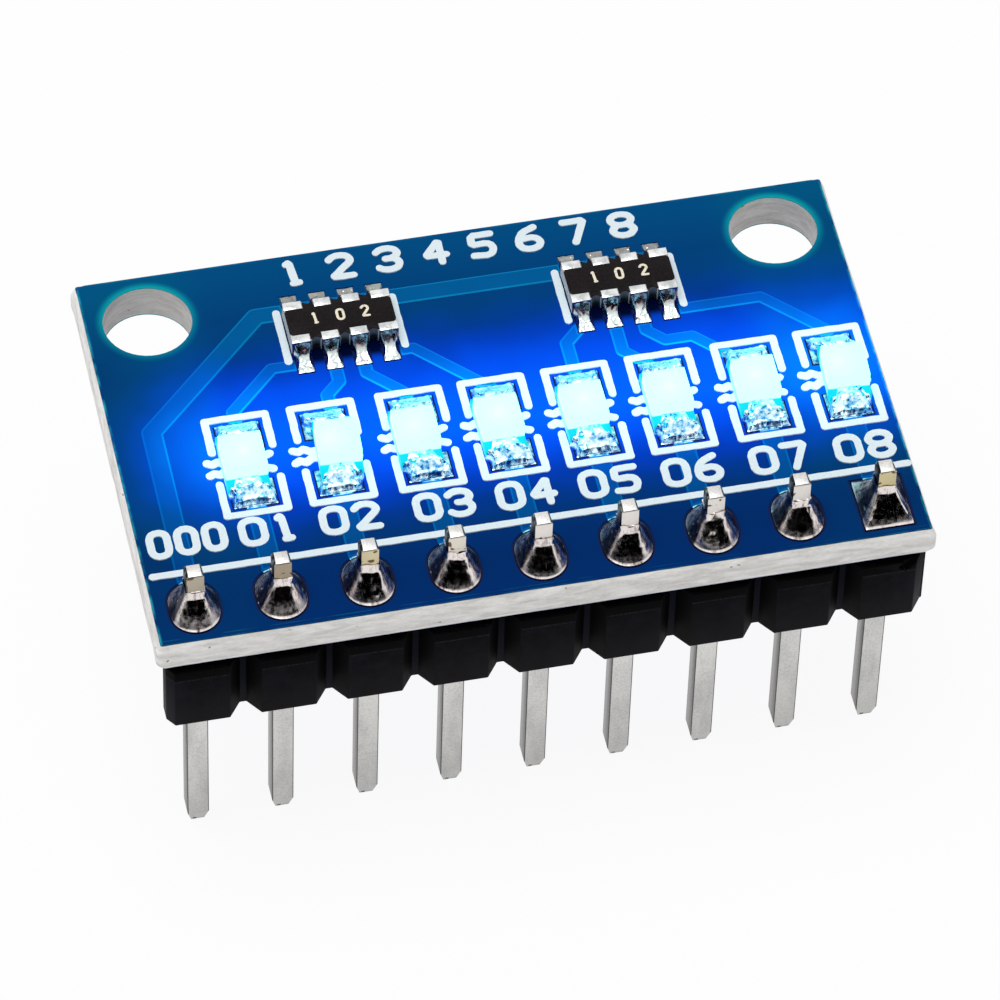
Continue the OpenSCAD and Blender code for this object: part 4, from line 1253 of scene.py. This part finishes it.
def joint_finish():
    """Tin alloy set by hand: bright, with brown streaks of flux drawn down from the pin, and a
    painted dark navy reflection on its flanks and back.
    """
    s = settings().joints
    mat, tree, shader = new_material("Tin solder, set by hand", Metallic=1.0)
    place = object_place(tree)
    parts = add(tree, "SeparateXYZ", place).outputs
    beside = beside_pin(tree, place)
    turn = add(tree, "Math", beside, parts["Y"], operation="ARCTAN2")
    fall = add(tree, "Math", parts["Z"], 0.7 / MM, operation="MULTIPLY")
    each = add(tree, "Math", parts["X"], 0.4 / MM, operation="MULTIPLY")
    rays = add(tree, "CombineXYZ", turn, fall, each)
    streaks = add(tree, "TexNoise", rays, sockets={"Scale": 2.6, "Detail": 5.0, "Roughness": 0.7})
    grains = add(tree, "TexNoise", place, sockets={"Scale": grain(0.13), "Detail": 4.0})
    both = add(tree, "Math", grains, 0.3, streaks, operation="MULTIPLY_ADD")
    tone = add(tree, "ValToRGB", both, stops=[(0.48, s.flux), (0.66, s.metal), (0.56, "#bdb4b0")])
    spot = add(tree, "CombineXYZ", beside, parts["Y"])
    way = add(tree, "VectorMath", spot, operation="NORMALIZE")
    rear = add(tree, "VectorMath", way, (-0.15, 1, 0), operation="DOT_PRODUCT")
    dark_reflected = joint_painted_reflection(tree, place, rear, streaks)
    # Painted reflection: the flanks and back turn dark navy
    toned = add(tree, "Mix", dark_reflected, tone, opaque("#12172c"), data_type="RGBA")
    film = joint_film(tree, parts, rear, grains)
    patchy = add(tree, "MapRange", grains,
                 sockets={"From Min": 0.4, "From Max": 0.6, "To Min": 0.07, "To Max": 0.17})
    gloss = add(tree, "Math", film, patchy, operation="ADD")
    relief = add(tree, "Bump", sockets={"Strength": 0.6, "Distance": 0.01 * MM, "Height": both})
    feed(tree, shader, Base_Color=toned, Roughness=gloss, Normal=relief)
    return mat


# Lumps of solder left high on a joint's front: the pin, how far beside its middle, how high
# above the board, how wide, and how far it stands out
LUMPS = (
    (7, -0.2, 0.42, 0.5, 0.055),
    (7, 0.1, 0.8, 0.2, 0.02),
    (9, 0.1, 0.5, 0.3, 0.02),
    (3, 0.1, 0.3, 0.2, 0.03),
)
# How far a pin is drawn in at each side, and the length over which it narrows, in millimetres
DRAWN_IN, NECK_LENGTH = 0.06, 1.2
# Points round a joint, and outlines up its slope
ROUND_POINTS, SLOPE_STEPS = 96, 44


class MODULE_OT_joints(bpy.types.Operator):
    """Build the nine hollow solder joints round the pins"""

    bl_idname = "led_module.joints"
    bl_label = "Solder joints"

    def execute(self, context):
        metal = joint_finish()
        for i in range(1, PINS + 1):
            bm = bmesh.new()
            loft(bm, self.rings(i), close=True)
            bmesh.ops.recalc_face_normals(bm, faces=bm.faces)
            piece(f"solder_joint_{i}", bm, [metal], "solder", [f"pin_solder_{i}"], smooth=60)
        return {"FINISHED"}

    def rings(self, i):
        """A joint's outlines: up its slope, down the pin, and round its foot through the hole."""
        s = settings().joints
        low, high = box_mm(f"pin_solder_{i}")
        spot = middle(f"pin_{i}")
        top = box_mm("top_copper")[1].z
        half_x, half_y = (high.x - low.x) / 2, (high.y - low.y) / 2
        # The pin is drawn in from the housing's top up to the head
        pin_low, pin_high = box_mm(f"pin_{i}")
        full = (pin_high.y - pin_low.y) / 2
        neck_low = box_mm("header_housing")[1].z
        head = full - DRAWN_IN
        climb = high.z - top
        angles = [2 * math.pi * k / ROUND_POINTS for k in range(ROUND_POINTS)]
        reach = box_reach if i == PINS else round_reach

        def ring(radius, height):
            return [
                (spot.x + radius(a) * math.cos(a), spot.y + radius(a) * math.sin(a), height(a))
                for a in angles
            ]

        def lump(a, radius, height):
            """How far the solder stands out in lumps at a point of the slope."""
            out = 0
            for pin, beside, above, size, far in LUMPS:
                if pin == i and math.sin(a) < 0:
                    near = math.hypot(radius * math.cos(a) - beside, height - above)
                    ripple = 1 + 0.45 * rough(7 * math.cos(a), 7 * math.sin(a), 7 * height, i + 90)
                    out += far * ripple * math.exp(-((near / (0.6 * size)) ** 2))
            return out

        def slope(share):
            def radius(a):
                # The slope is hollowest at the back, and its foot has a flat lip at the front
                front = max(-math.sin(a), 0)
                hollow = s.hollow * (1 + 0.08 * rough(math.cos(a), math.sin(a), 0, i))
                hollow += 0.35 * (1 - front) ** 2
                foot = reach(a, half_x, half_y)
                neck = between(1.2 * head, box_reach(a, head, head), share**3) + s.rim / MM
                lip = s.lip / MM * (1 + 0.6 * rough(2 * math.cos(a), 2 * math.sin(a), 0, i + 80))
                lip *= between(0.15, 1, front**2)
                # The last quarter of the climb, with a seventh of the way in left, is steeper
                bend, left = 0.76, 0.14
                out = 1 - min(share / bend, 1) * (1 - left)
                out -= max(share - bend, 0) / (1 - bend) * left
                spread = max(out, 0) ** hollow
                edge = lip * max(1 - share / 0.04, 0) ** 1.5
                stray = s.uneven / MM * math.sin(math.pi * share) * (
                    rough(2 * math.cos(a), 2 * math.sin(a), 3 * share, i + 20)
                    + 0.6 * rough(5 * math.cos(a), 5 * math.sin(a), 5 * share, i + 40)
                )
                r = neck + (foot - lip - neck) * spread + edge + stray
                return r + lump(a, r, climb * share) if share > 0.1 else r

            def height(a):
                lift = 1 + 0.09 * rough(math.cos(a), math.sin(a), 2, i + 60) - 0.06
                return top + climb * share * lift

            return ring(radius, height)

        def on_pin(height):
            drawn = min(max((height - neck_low) / NECK_LENGTH, 0), 1)
            half = between(full, head, drawn) + 0.002
            return ring(lambda a: box_reach(a, half, half), lambda a: height)

        outside = [slope((k / SLOPE_STEPS) ** 1.25) for k in range(SLOPE_STEPS + 1)]
        hole_low = box_mm("pin_lands")[0].z
        inside = [on_pin(z) for z in (top + climb * 0.93, neck_low + NECK_LENGTH, hole_low)]
        return outside + inside + [ring(lambda a: PIN_BORE, lambda a: z) for z in (hole_low, top)]


# Solder on the chips' ends


def fillet(bm, near, far, width, rise, seed):
    """Solder between a chip's end and its pad's end. near and far map -1 to 1 to the line where
    it starts and where it ends; width(v) and rise(u, v) shape what lies between."""
    across, along = 36, 34
    # The solder starts just above the pads, and is nowhere thinner than its skin
    top_z, skin = box_mm("top_copper")[1].z + 0.002, 0.006
    grid = []
    for j in range(along + 1):
        v = j / along
        row = []
        for k in range(across + 1):
            u = 2 * k / across - 1
            a, b = near(u * width(v)), far(u * width(v))
            x = between(a[0], b[0], smooth_step(0, 0.45, v))
            y = between(a[1], b[1], v)
            # It comes down to the pad at its sides and its far end, and is lumpy off the chip
            side = min(k, across - k) / across
            close = smooth_step(0, 0.09, side) * smooth_step(0, 0.08, 1 - v)
            lump = 0.03 * rough(x * 5, y * 5, 0, seed) + 0.02 * rough(x * 12, y * 12, 0, seed + 1)
            z = top_z + 0.01 + (rise(u, v) + lump * min(1, 4 * v) + 0.02) * close
            row.append(bm.verts.new((x, y, max(z, top_z + skin))))
        grid.append(row)
    for a, b in zip(grid, grid[1:]):
        for k in range(across):
            bm.faces.new((a[k], a[k + 1], b[k + 1], b[k]))
    rim = grid[0] + [r[-1] for r in grid[1:]] + grid[-1][-2::-1] + [r[0] for r in grid[-2:0:-1]]
    low = [bm.verts.new((v.co.x, v.co.y, top_z)) for v in rim]
    for k in range(len(rim)):
        n = (k + 1) % len(rim)
        bm.faces.new((rim[k], low[k], low[n], rim[n]))
    bm.faces.new(low)


# The LEDs

# How each LED came to lie on its pads, in degrees
LED_TURNS = (0, -3, 0, 1, 0.5, 0, -1, -3)
# An LED's solder in millimetres: half its width, how far from the chip's middle it starts at the
# bare corners and how much nearer over the metal, and how far from the pads' middle it ends
LED_SOLDER_HALF, CORNER_START, METAL_NEARER, LED_SOLDER_END = 0.65, 0.99, 0.29, 1.57


def lens_finish():
    """Clear moulded epoxy over a lit die: so bright that it shows almost evenly, with a faint
    warm spot over the die."""
    s = settings().leds
    mat, tree, shader = new_material(
        "Clear epoxy lens, lit", Base_Color=opaque("#003a40"), Roughness=0.35,
        Specular_IOR_Level=0.15, Emission_Strength=s.strength,
    )
    place = object_place(tree, IN_MM)
    parts = add(tree, "SeparateXYZ", place).outputs
    pitch = middle("pin_2").x - middle("pin_1").x
    first = middle("led_1_lens")
    local = add(tree, "Math", parts["X"], first.x, operation="SUBTRACT")
    folded = add(tree, "Math", local, pitch / 2, -pitch / 2, operation="WRAP")
    across = add(tree, "Math", parts["Y"], first.y, operation="SUBTRACT")
    both = add(tree, "CombineXYZ", folded, across)
    far = add(tree, "VectorMath", both, operation="LENGTH")
    cloud = add(tree, "TexNoise", place, sockets={"Scale": 4.0, "Detail": 3.0})
    stray = add(tree, "Math", cloud, 0.5, far, operation="MULTIPLY_ADD")
    shade = add(tree, "ValToRGB", stray,
                stops=[(0.25, "#93f6ea"), (0.95, s.light), (0.5, "#8cf8f6")])
    feed(tree, shader, Emission_Color=shade)
    return mat


class MODULE_OT_leds(bpy.types.Operator):
    """Build the lit lenses and the solder of the eight LEDs, and finish their other parts"""

    bl_idname = "led_module.leds"
    bl_label = "LEDs"

    def execute(self, context):
        s = settings().leds
        lens = lens_finish()
        base = self.base_finish()
        # The terminals' cyan whites are the LEDs' light painted on the silver
        tin = solder_finish("Silver-plated chip terminal", "#e4f8fa", 0.1, "#8ad8ee", 3.8, 3.9)
        for i in range(1, LEDS + 1):
            rounded(f"lit_lens_{i}", f"led_{i}_lens", s.lens_edge / MM, lens, "led_lens")
            dress(f"led_{i}_base", base)
            dress(f"led_{i}_terminals", tin)
        die, tree, shader = new_material("Gallium nitride die", Roughness=0.3,
                                         Emission_Strength=4.0)
        spots = add(tree, "TexNoise", object_place(tree), sockets={"Scale": grain(0.1)})
        shade = add(tree, "ValToRGB", spots, stops=[(0.3, "#bfe9ff"), (0.7, "#ffffff")])
        feed(tree, shader, Emission_Color=shade)
        dress("led_dies", die)
        self.solder(self.solder_finish())
        return {"FINISHED"}

    def base_finish(self):
        """White BT laminate under the lens: the lit lens shines through it at the corners."""
        s = settings().leds
        mat, tree, shader = new_material(
            "BT laminate, white", Base_Color=opaque(s.base), Roughness=0.45,
            Specular_IOR_Level=0.1, Emission_Strength=0.9,
        )
        place = object_place(tree)
        cloud = add(tree, "TexNoise", place, sockets={"Scale": grain(0.25), "Detail": 2.0})
        row = add(tree, "SeparateXYZ", place).outputs["Y"]
        across = add(tree, "Math", row, middle("led_1_base").y * MM, operation="SUBTRACT")
        end = add(tree, "Math", across, operation="ABSOLUTE")
        bare = add(tree, "MapRange", end, sockets={
            "From Min": 0.5 * MM, "From Max": 0.72 * MM, "To Min": 0.0, "To Max": 0.7})
        both = add(tree, "Math", cloud, 0.4, bare, operation="MULTIPLY_ADD")
        shade = add(tree, "ValToRGB", both,
                    stops=[(0.15, "#b4fdff"), (1.0, "#00d2ea"), (0.7, "#00f4fc")])
        feed(tree, shader, Emission_Color=shade)
        return mat

    def solder_finish(self):
        """Reflowed tin in the LEDs' light: white and cyan where it is smooth, deep blue in its
        hollows, and pale blue where it faces the back."""
        s = settings().leds
        mat, tree, shader = new_material("Tin solder, reflowed", Metallic=1.0,
                                         Emission_Strength=1.0)
        place = object_place(tree)
        patches = add(tree, "TexNoise", place,
                      sockets={"Scale": grain(0.3), "Detail": 5.0, "Roughness": 0.65})
        grains = add(tree, "TexNoise", place, sockets={"Scale": grain(0.1), "Detail": 4.0})
        both = add(tree, "Math", grains, 0.4, patches, operation="MULTIPLY_ADD")
        behind = add(tree, "MapRange", facing(tree)["Y"],
                     sockets={"From Min": 0.05, "From Max": 0.2})
        tone = add(tree, "ValToRGB", both,
                   stops=[(0.55, "#14489c"), (0.76, s.solder), (0.62, s.dim_solder)])
        toned = add(tree, "Mix", behind, tone, opaque("#84cadc"), data_type="RGBA")
        glow = add(tree, "ValToRGB", both, stops=[(0.5, "#03185c"), (0.8, "#0a3a6e")])
        back_glow = add(tree, "ValToRGB", both, stops=[(0.55, "#16a4ca"), (0.8, "#74dfe6")])
        glowing = add(tree, "Mix", behind, glow, back_glow, data_type="RGBA")
        gloss = add(tree, "MapRange", grains,
                    sockets={"From Min": 0.35, "From Max": 0.7, "To Min": 0.1, "To Max": 0.28})
        relief = add(tree, "Bump",
                     sockets={"Strength": 0.6, "Distance": 0.012 * MM, "Height": both})
        feed(tree, shader, Base_Color=toned, Emission_Color=glowing, Roughness=gloss,
             Normal=relief)
        return mat

    def solder(self, metal):
        """Solder that runs over each chip's ends up to the lens and leaves the base's corners
        bare."""
        bm = bmesh.new()

        def metal_share(u):
            """1 over the metal at the chip's end, and 0 over its bare corners."""
            return 1 - smooth_step(0.5, 0.7, abs(u))

        def rise(u, v):
            """High over the chip's end, with a pit beside each corner, and falling to the pad."""
            over = 0.34 * metal_share(u)
            fall = 1 - 0.55 * smooth_step(over, 0.84, v)
            end = 1 - min(max(v - 0.83, 0) / 0.15, 1)
            ridge = max(metal_share(u), 0.6 * math.exp(-(u**8)))
            pit = 0.11 * math.exp(-(((abs(u) - 0.66) / 0.16) ** 2 + ((v - 0.27) / 0.1) ** 2))
            return fall * end * (0.3 + 0.12 * ridge) - pit

        for i in range(1, LEDS + 1):
            chip = middle(f"led_{i}_base")
            pad_x, pad_y = pad_place(i)
            turn = math.radians(LED_TURNS[i - 1])
            for side in (1, -1):
                def near(u, chip=chip, turn=turn, side=side):
                    x = LED_SOLDER_HALF * u * side
                    y = (CORNER_START - METAL_NEARER * metal_share(u)) * side
                    return (chip.x + x * math.cos(turn) - y * math.sin(turn),
                            chip.y + x * math.sin(turn) + y * math.cos(turn))

                def far(u, pad_x=pad_x, pad_y=pad_y, side=side):
                    return pad_x + LED_SOLDER_HALF * u * side, pad_y + LED_SOLDER_END * side

                fillet(bm, near, far, lambda v: 1.0, rise, 3 * i + side)
        bmesh.ops.recalc_face_normals(bm, faces=bm.faces)
        piece("led_fillets", bm, [metal], "solder", ["led_solder"], smooth=60)


# The resistor arrays

# Between an array's terminals, and its legs of solder in millimetres: half a leg's width at the
# terminal and at the pad's end, and how far from the body's middle it starts and ends
TERMINAL_PITCH, LEG_HALF, LEG_END_HALF, LEG_START, LEG_END = 0.86, 0.285, 0.24, 0.8, 1.5
# A figure's width, the step to the next one, its stroke and how far its edge strays
FIGURE_WIDTH, FIGURE_STEP, FIGURE_STROKE, FIGURE_STRAY = 0.27, 0.745, 0.08, 0.004
# How deep the figures reach into the glaze, and how far they stand out of it
INK_SUNK, INK_PROUD = 0.002, 0.005
# The radii of the fired body's and the terminals' edges, and of the thinner glaze's
BODY_EDGE, GLAZE_EDGE = 0.02, 0.01


class MODULE_OT_arrays(bpy.types.Operator):
    """Finish the two resistor arrays, with their solder and their figures"""

    bl_idname = "led_module.arrays"
    bl_label = "Resistor arrays"

    def execute(self, context):
        s = settings().arrays
        ceramic, glaze, ink = self.ceramic(), self.glaze(), self.marking()
        tin = solder_finish("Tin-plated terminal", s.tin, 0.08, "#806672", 3.8, 3.9)
        metal = solder_finish("Tin solder, reflowed on an array", "#eafaf6", 0.09, "#8f7080",
                              3.9, 4.1)
        figures = bmesh.new()
        for k in range(1, ARRAYS + 1):
            for name, node, radius, mat, slot in (
                ("alumina_body", "body", BODY_EDGE, ceramic, "array_ceramic"),
                ("fired_glaze", "glaze", GLAZE_EDGE, glaze, "array_glaze"),
                ("tinned_ends", "terminals", BODY_EDGE, tin, "terminal_metal"),
            ):
                rounded(f"{name}_{k}", f"array_{k}_{node}", radius, mat, slot)
            spot, top = middle(f"array_{k}_glaze"), box_mm(f"array_{k}_glaze")[1].z
            strokes = number("102", spot.x + 0.01, spot.y + 0.05, s.digit_height / MM,
                             FIGURE_WIDTH, FIGURE_STEP, FIGURE_STROKE)
            outlines = []
            for points in strokes:
                outlines += stroke_outlines(points, FIGURE_STROKE, FIGURE_STRAY, k)
            prism(figures, outlines, top - INK_SUNK, top + INK_PROUD)
            solder = bmesh.new()
            body = middle(f"array_{k}_body")
            for t in range(TERMINALS):
                x = body.x + (t - (TERMINALS - 1) / 2) * TERMINAL_PITCH
                for side in (1, -1):
                    def near(u, x=x, side=side):
                        return x + LEG_HALF * u * side, body.y + LEG_START * side

                    def far(u, x=x, side=side):
                        return x + LEG_END_HALF * u * side, body.y + LEG_END * side

                    fillet(solder, near, far, self.leg_width, self.leg_rise, 50 * k + 4 * t + side)
            bmesh.ops.recalc_face_normals(solder, faces=solder.faces)
            piece(f"array_fillets_{k}", solder, [metal], "solder", [f"array_{k}_solder"],
                  smooth=60)
        piece("array_figures", figures, [ink], "legend_ink")
        return {"FINISHED"}

    @staticmethod
    def leg_width(v):
        """A leg of solder is narrow at its waist and spreads over its pad."""
        return 1 - 0.24 * smooth_step(0, 0.3, v) + 0.22 * smooth_step(0.42, 0.85, v)

    @staticmethod
    def leg_rise(u, v):
        """It falls steeply from the terminal, in a hollow, and is a little crowned across."""
        return 0.48 * (1 - v) ** 2.9 * (0.75 + 0.25 * (1 - u * u)) + 0.03 * (1 - v)

    def ceramic(self):
        """Sintered alumina: off-white, matt and faintly grainy, dark in the recesses between the
        terminals, where little light comes."""
        s = settings().arrays
        mat, tree, shader = new_material("Alumina, sintered", Roughness=0.6)
        grains = add(tree, "TexNoise", object_place(tree),
                     sockets={"Scale": grain(0.06), "Detail": 4.0})
        shade = add(tree, "ValToRGB", grains, stops=[(0.3, "#b4b8b8"), (0.65, s.ceramic)])
        normal = facing(tree)
        ways = [
            add(tree, "Math", normal[axis], operation="ABSOLUTE") for axis in ("X", "Z")
        ]
        clear = add(tree, "Math", *ways, operation="MAXIMUM")
        inside = add(tree, "MapRange", clear,
                     sockets={"From Min": 0.8, "From Max": 0.97, "To Min": 1.0, "To Max": 0.0})
        height = add(tree, "SeparateXYZ", object_place(tree)).outputs["Z"]
        deep = add(tree, "MapRange", height, sockets={"From Min": 3.98 * MM, "From Max": 4.16 * MM})
        wall = add(tree, "Mix", deep, opaque("#020614"), opaque(s.recess), data_type="RGBA")
        sunk = add(tree, "Mix", inside, shade, wall, data_type="RGBA")
        relief = add(tree, "Bump",
                     sockets={"Strength": 0.4, "Distance": 0.01 * MM, "Height": grains})
        feed(tree, shader, Base_Color=sunk, Normal=relief)
        return mat

    def glaze(self):
        """Fired glass glaze: black and glossy, with a slight orange peel."""
        mat, tree, shader = new_material("Glass glaze, fired", Roughness=0.35,
                                         Specular_IOR_Level=0.06)
        peel = add(tree, "TexNoise", object_place(tree),
                   sockets={"Scale": grain(0.09), "Detail": 2.0})
        shade = add(tree, "ValToRGB", peel,
                    stops=[(0.35, settings().arrays.glaze), (0.8, "#221c1f")])
        relief = add(tree, "Bump", sockets={"Strength": 0.4, "Distance": 0.01 * MM, "Height": peel})
        feed(tree, shader, Base_Color=shade, Normal=relief)
        return mat

    def marking(self):
        """Cream marking ink, printed thinly on the glaze."""
        mat, tree, shader = new_material("Marking ink, cream", Roughness=0.6)
        thin = add(tree, "TexNoise", object_place(tree),
                   sockets={"Scale": grain(0.05), "Detail": 3.0})
        shade = add(tree, "ValToRGB", thin,
                    stops=[(0.25, "#b8ae98"), (0.5, settings().arrays.marking)])
        feed(tree, shader, Base_Color=shade)
        return mat


# Floor, lights and camera


def pins_low():
    """The height of the pins' tips, where the floor lies, in metres."""
    return min(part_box(f"pin_{i}")[0].z for i in range(1, PINS + 1))


def seen_directly(tree):
    """1 where the camera, a reflection or something clear shows a surface, and 0 for its light."""
    rays = add(tree, "LightPath").outputs
    either = add(tree, "Math", rays["Is Camera Ray"], rays["Is Glossy Ray"], operation="MAXIMUM")
    return add(tree, "Math", either, rays["Is Transmission Ray"], operation="MAXIMUM")


class MODULE_OT_stage(bpy.types.Operator):
    """Set up the pale floor, the soft light, the room's dark front wall and the camera"""

    bl_idname = "led_module.stage"
    bl_label = "Stage"

    def execute(self, context):
        s = settings().stage
        back = Vector((
            math.sin(s.azimuth) * math.cos(s.elevation),
            -math.cos(s.azimuth) * math.cos(s.elevation),
            math.sin(s.elevation),
        ))
        self.camera(back)
        self.floor()
        self.sky()
        self.lamp("overhead_box", (-0.05, 0.03, 0.32), 0.26, s.lamp)
        self.wall()
        view = context.scene.view_settings
        view.view_transform = "Standard"
        return {"FINISHED"}

    def camera(self, back):
        s = settings().stage
        right = Vector((math.cos(s.azimuth), math.sin(s.azimuth), 0))
        up = back.cross(right)
        across = math.cos(s.roll) * right + math.sin(s.roll) * up
        above = -math.sin(s.roll) * right + math.cos(s.roll) * up
        data = bpy.data.cameras.new("photo_camera")
        data.sensor_width = 36
        data.lens = s.zoom * data.sensor_width
        data.clip_start = 0.01
        camera = new_object("photo_camera", data)
        turn = Matrix((across, above, back)).transposed().to_4x4()
        camera.matrix_world = Matrix.Translation(Vector(s.target) + back * s.distance) @ turn
        bpy.context.scene.camera = camera

    def floor(self):
        """A white sweep that shows white and keeps a faint shadow."""
        mesh = bpy.data.meshes.new("floor")
        half, bottom = 1.5, pins_low()
        corners = [(-half, -half), (half, -half), (half, half), (-half, half)]
        mesh.from_pydata([(x, y, bottom) for x, y in corners], [], [(0, 1, 2, 3)])
        floor = new_object("floor", mesh)
        mat = bpy.data.materials.new("White paper sweep")
        mat.use_nodes = True
        tree = mat.node_tree
        tree.nodes.clear()
        paper = add(tree, "BsdfDiffuse", opaque("#f4f4f4"))
        white = add(tree, "Emission", (1, 1, 1, 1), 1.0)
        share = add(tree, "Math", seen_directly(tree), 0.92, operation="MULTIPLY")
        mixed = add(tree, "MixShader", share, paper, white)
        add(tree, "OutputMaterial", mixed)
        mesh.materials.append(mat)

    def sky(self):
        world = bpy.data.worlds.new("Soft white room")
        bpy.context.scene.world = world
        world.use_nodes = True
        tree = world.node_tree
        tree.nodes.clear()
        strength = add(tree, "MapRange", seen_directly(tree),
                       sockets={"To Min": settings().stage.sky, "To Max": 1.0})
        light = add(tree, "Background", (1, 1, 1, 1), strength)
        add(tree, "OutputWorld", light)

    def lamp(self, name, place, size, power):
        data = bpy.data.lights.new(name, "AREA")
        data.shape, data.size, data.energy = "DISK", size, power
        lamp = new_object(name, data)
        lamp.location = place
        lamp.rotation_euler = (-Vector(place)).to_track_quat("-Z", "Y").to_euler()
        lamp.visible_camera = False

    def wall(self):
        """The room's dark front wall, round the side where the pins are, and the dark floor that
        starts some way before it. Only shiny surfaces see them."""
        s = settings().stage
        inner, outer, steps = 0.075, 0.3, 48
        low = pins_low() + 0.5 * MM
        rings = ((inner, low), (outer, low), (outer, outer * math.tan(s.wall_height)))
        turns = [s.wall_middle + s.wall_turn * (2 * k / steps - 1) for k in range(steps + 1)]
        points = [(far * math.sin(t), -far * math.cos(t), z) for far, z in rings for t in turns]
        faces = [
            (k + 1, k, k + steps + 1, k + steps + 2)
            for row in range(2) for k in range(row * (steps + 1), row * (steps + 1) + steps)
        ]
        mesh = bpy.data.meshes.new("dark_wall")
        mesh.from_pydata(points, [], faces)
        wall = new_object("dark_wall", mesh)
        cloth = new_material("Black cloth", Base_Color=opaque("#030303"), Roughness=0.9,
                             Specular_IOR_Level=0.0)[0]
        mesh.materials.append(cloth)
        wall.visible_camera = wall.visible_diffuse = wall.visible_shadow = False
        wall.visible_transmission = wall.visible_volume_scatter = False


# Panel and registration


class MODULE_PT_panel(bpy.types.Panel):
    """The module's pieces and their settings"""

    bl_label = "LED Module"
    bl_idname = "MODULE_PT_panel"
    bl_space_type = "VIEW_3D"
    bl_region_type = "UI"
    bl_category = "LED Module"

    def draw(self, context):
        for operator, group in STEPS:
            part = self.layout.box()
            part.operator(operator.bl_idname)
            values = getattr(context.scene.led_module, group)
            for name in values.__annotations__:
                part.prop(values, name)


STEPS = (
    (MODULE_OT_board, "board"),
    (MODULE_OT_mask, "mask"),
    (MODULE_OT_legend, "legend"),
    (MODULE_OT_header, "header"),
    (MODULE_OT_joints, "joints"),
    (MODULE_OT_leds, "leds"),
    (MODULE_OT_arrays, "arrays"),
    (MODULE_OT_stage, "stage"),
)

CLASSES = (
    BoardSettings, MaskSettings, LegendSettings, HeaderSettings, JointSettings, LedSettings,
    ArraySettings, StageSettings, ModuleSettings, *(step[0] for step in STEPS), MODULE_PT_panel,
)


def register():
    for item in CLASSES:
        bpy.utils.register_class(item)
    bpy.types.Scene.led_module = PointerProperty(type=ModuleSettings)


def unregister():
    del bpy.types.Scene.led_module
    for item in reversed(CLASSES):
        bpy.utils.unregister_class(item)


def main():
    register()
    bpy.ops.led_module.stage()
    for operator, _ in STEPS[:-1]:
        group, name = operator.bl_idname.split(".")
        getattr(getattr(bpy.ops, group), name)()


if __name__ == "__main__":
    main()
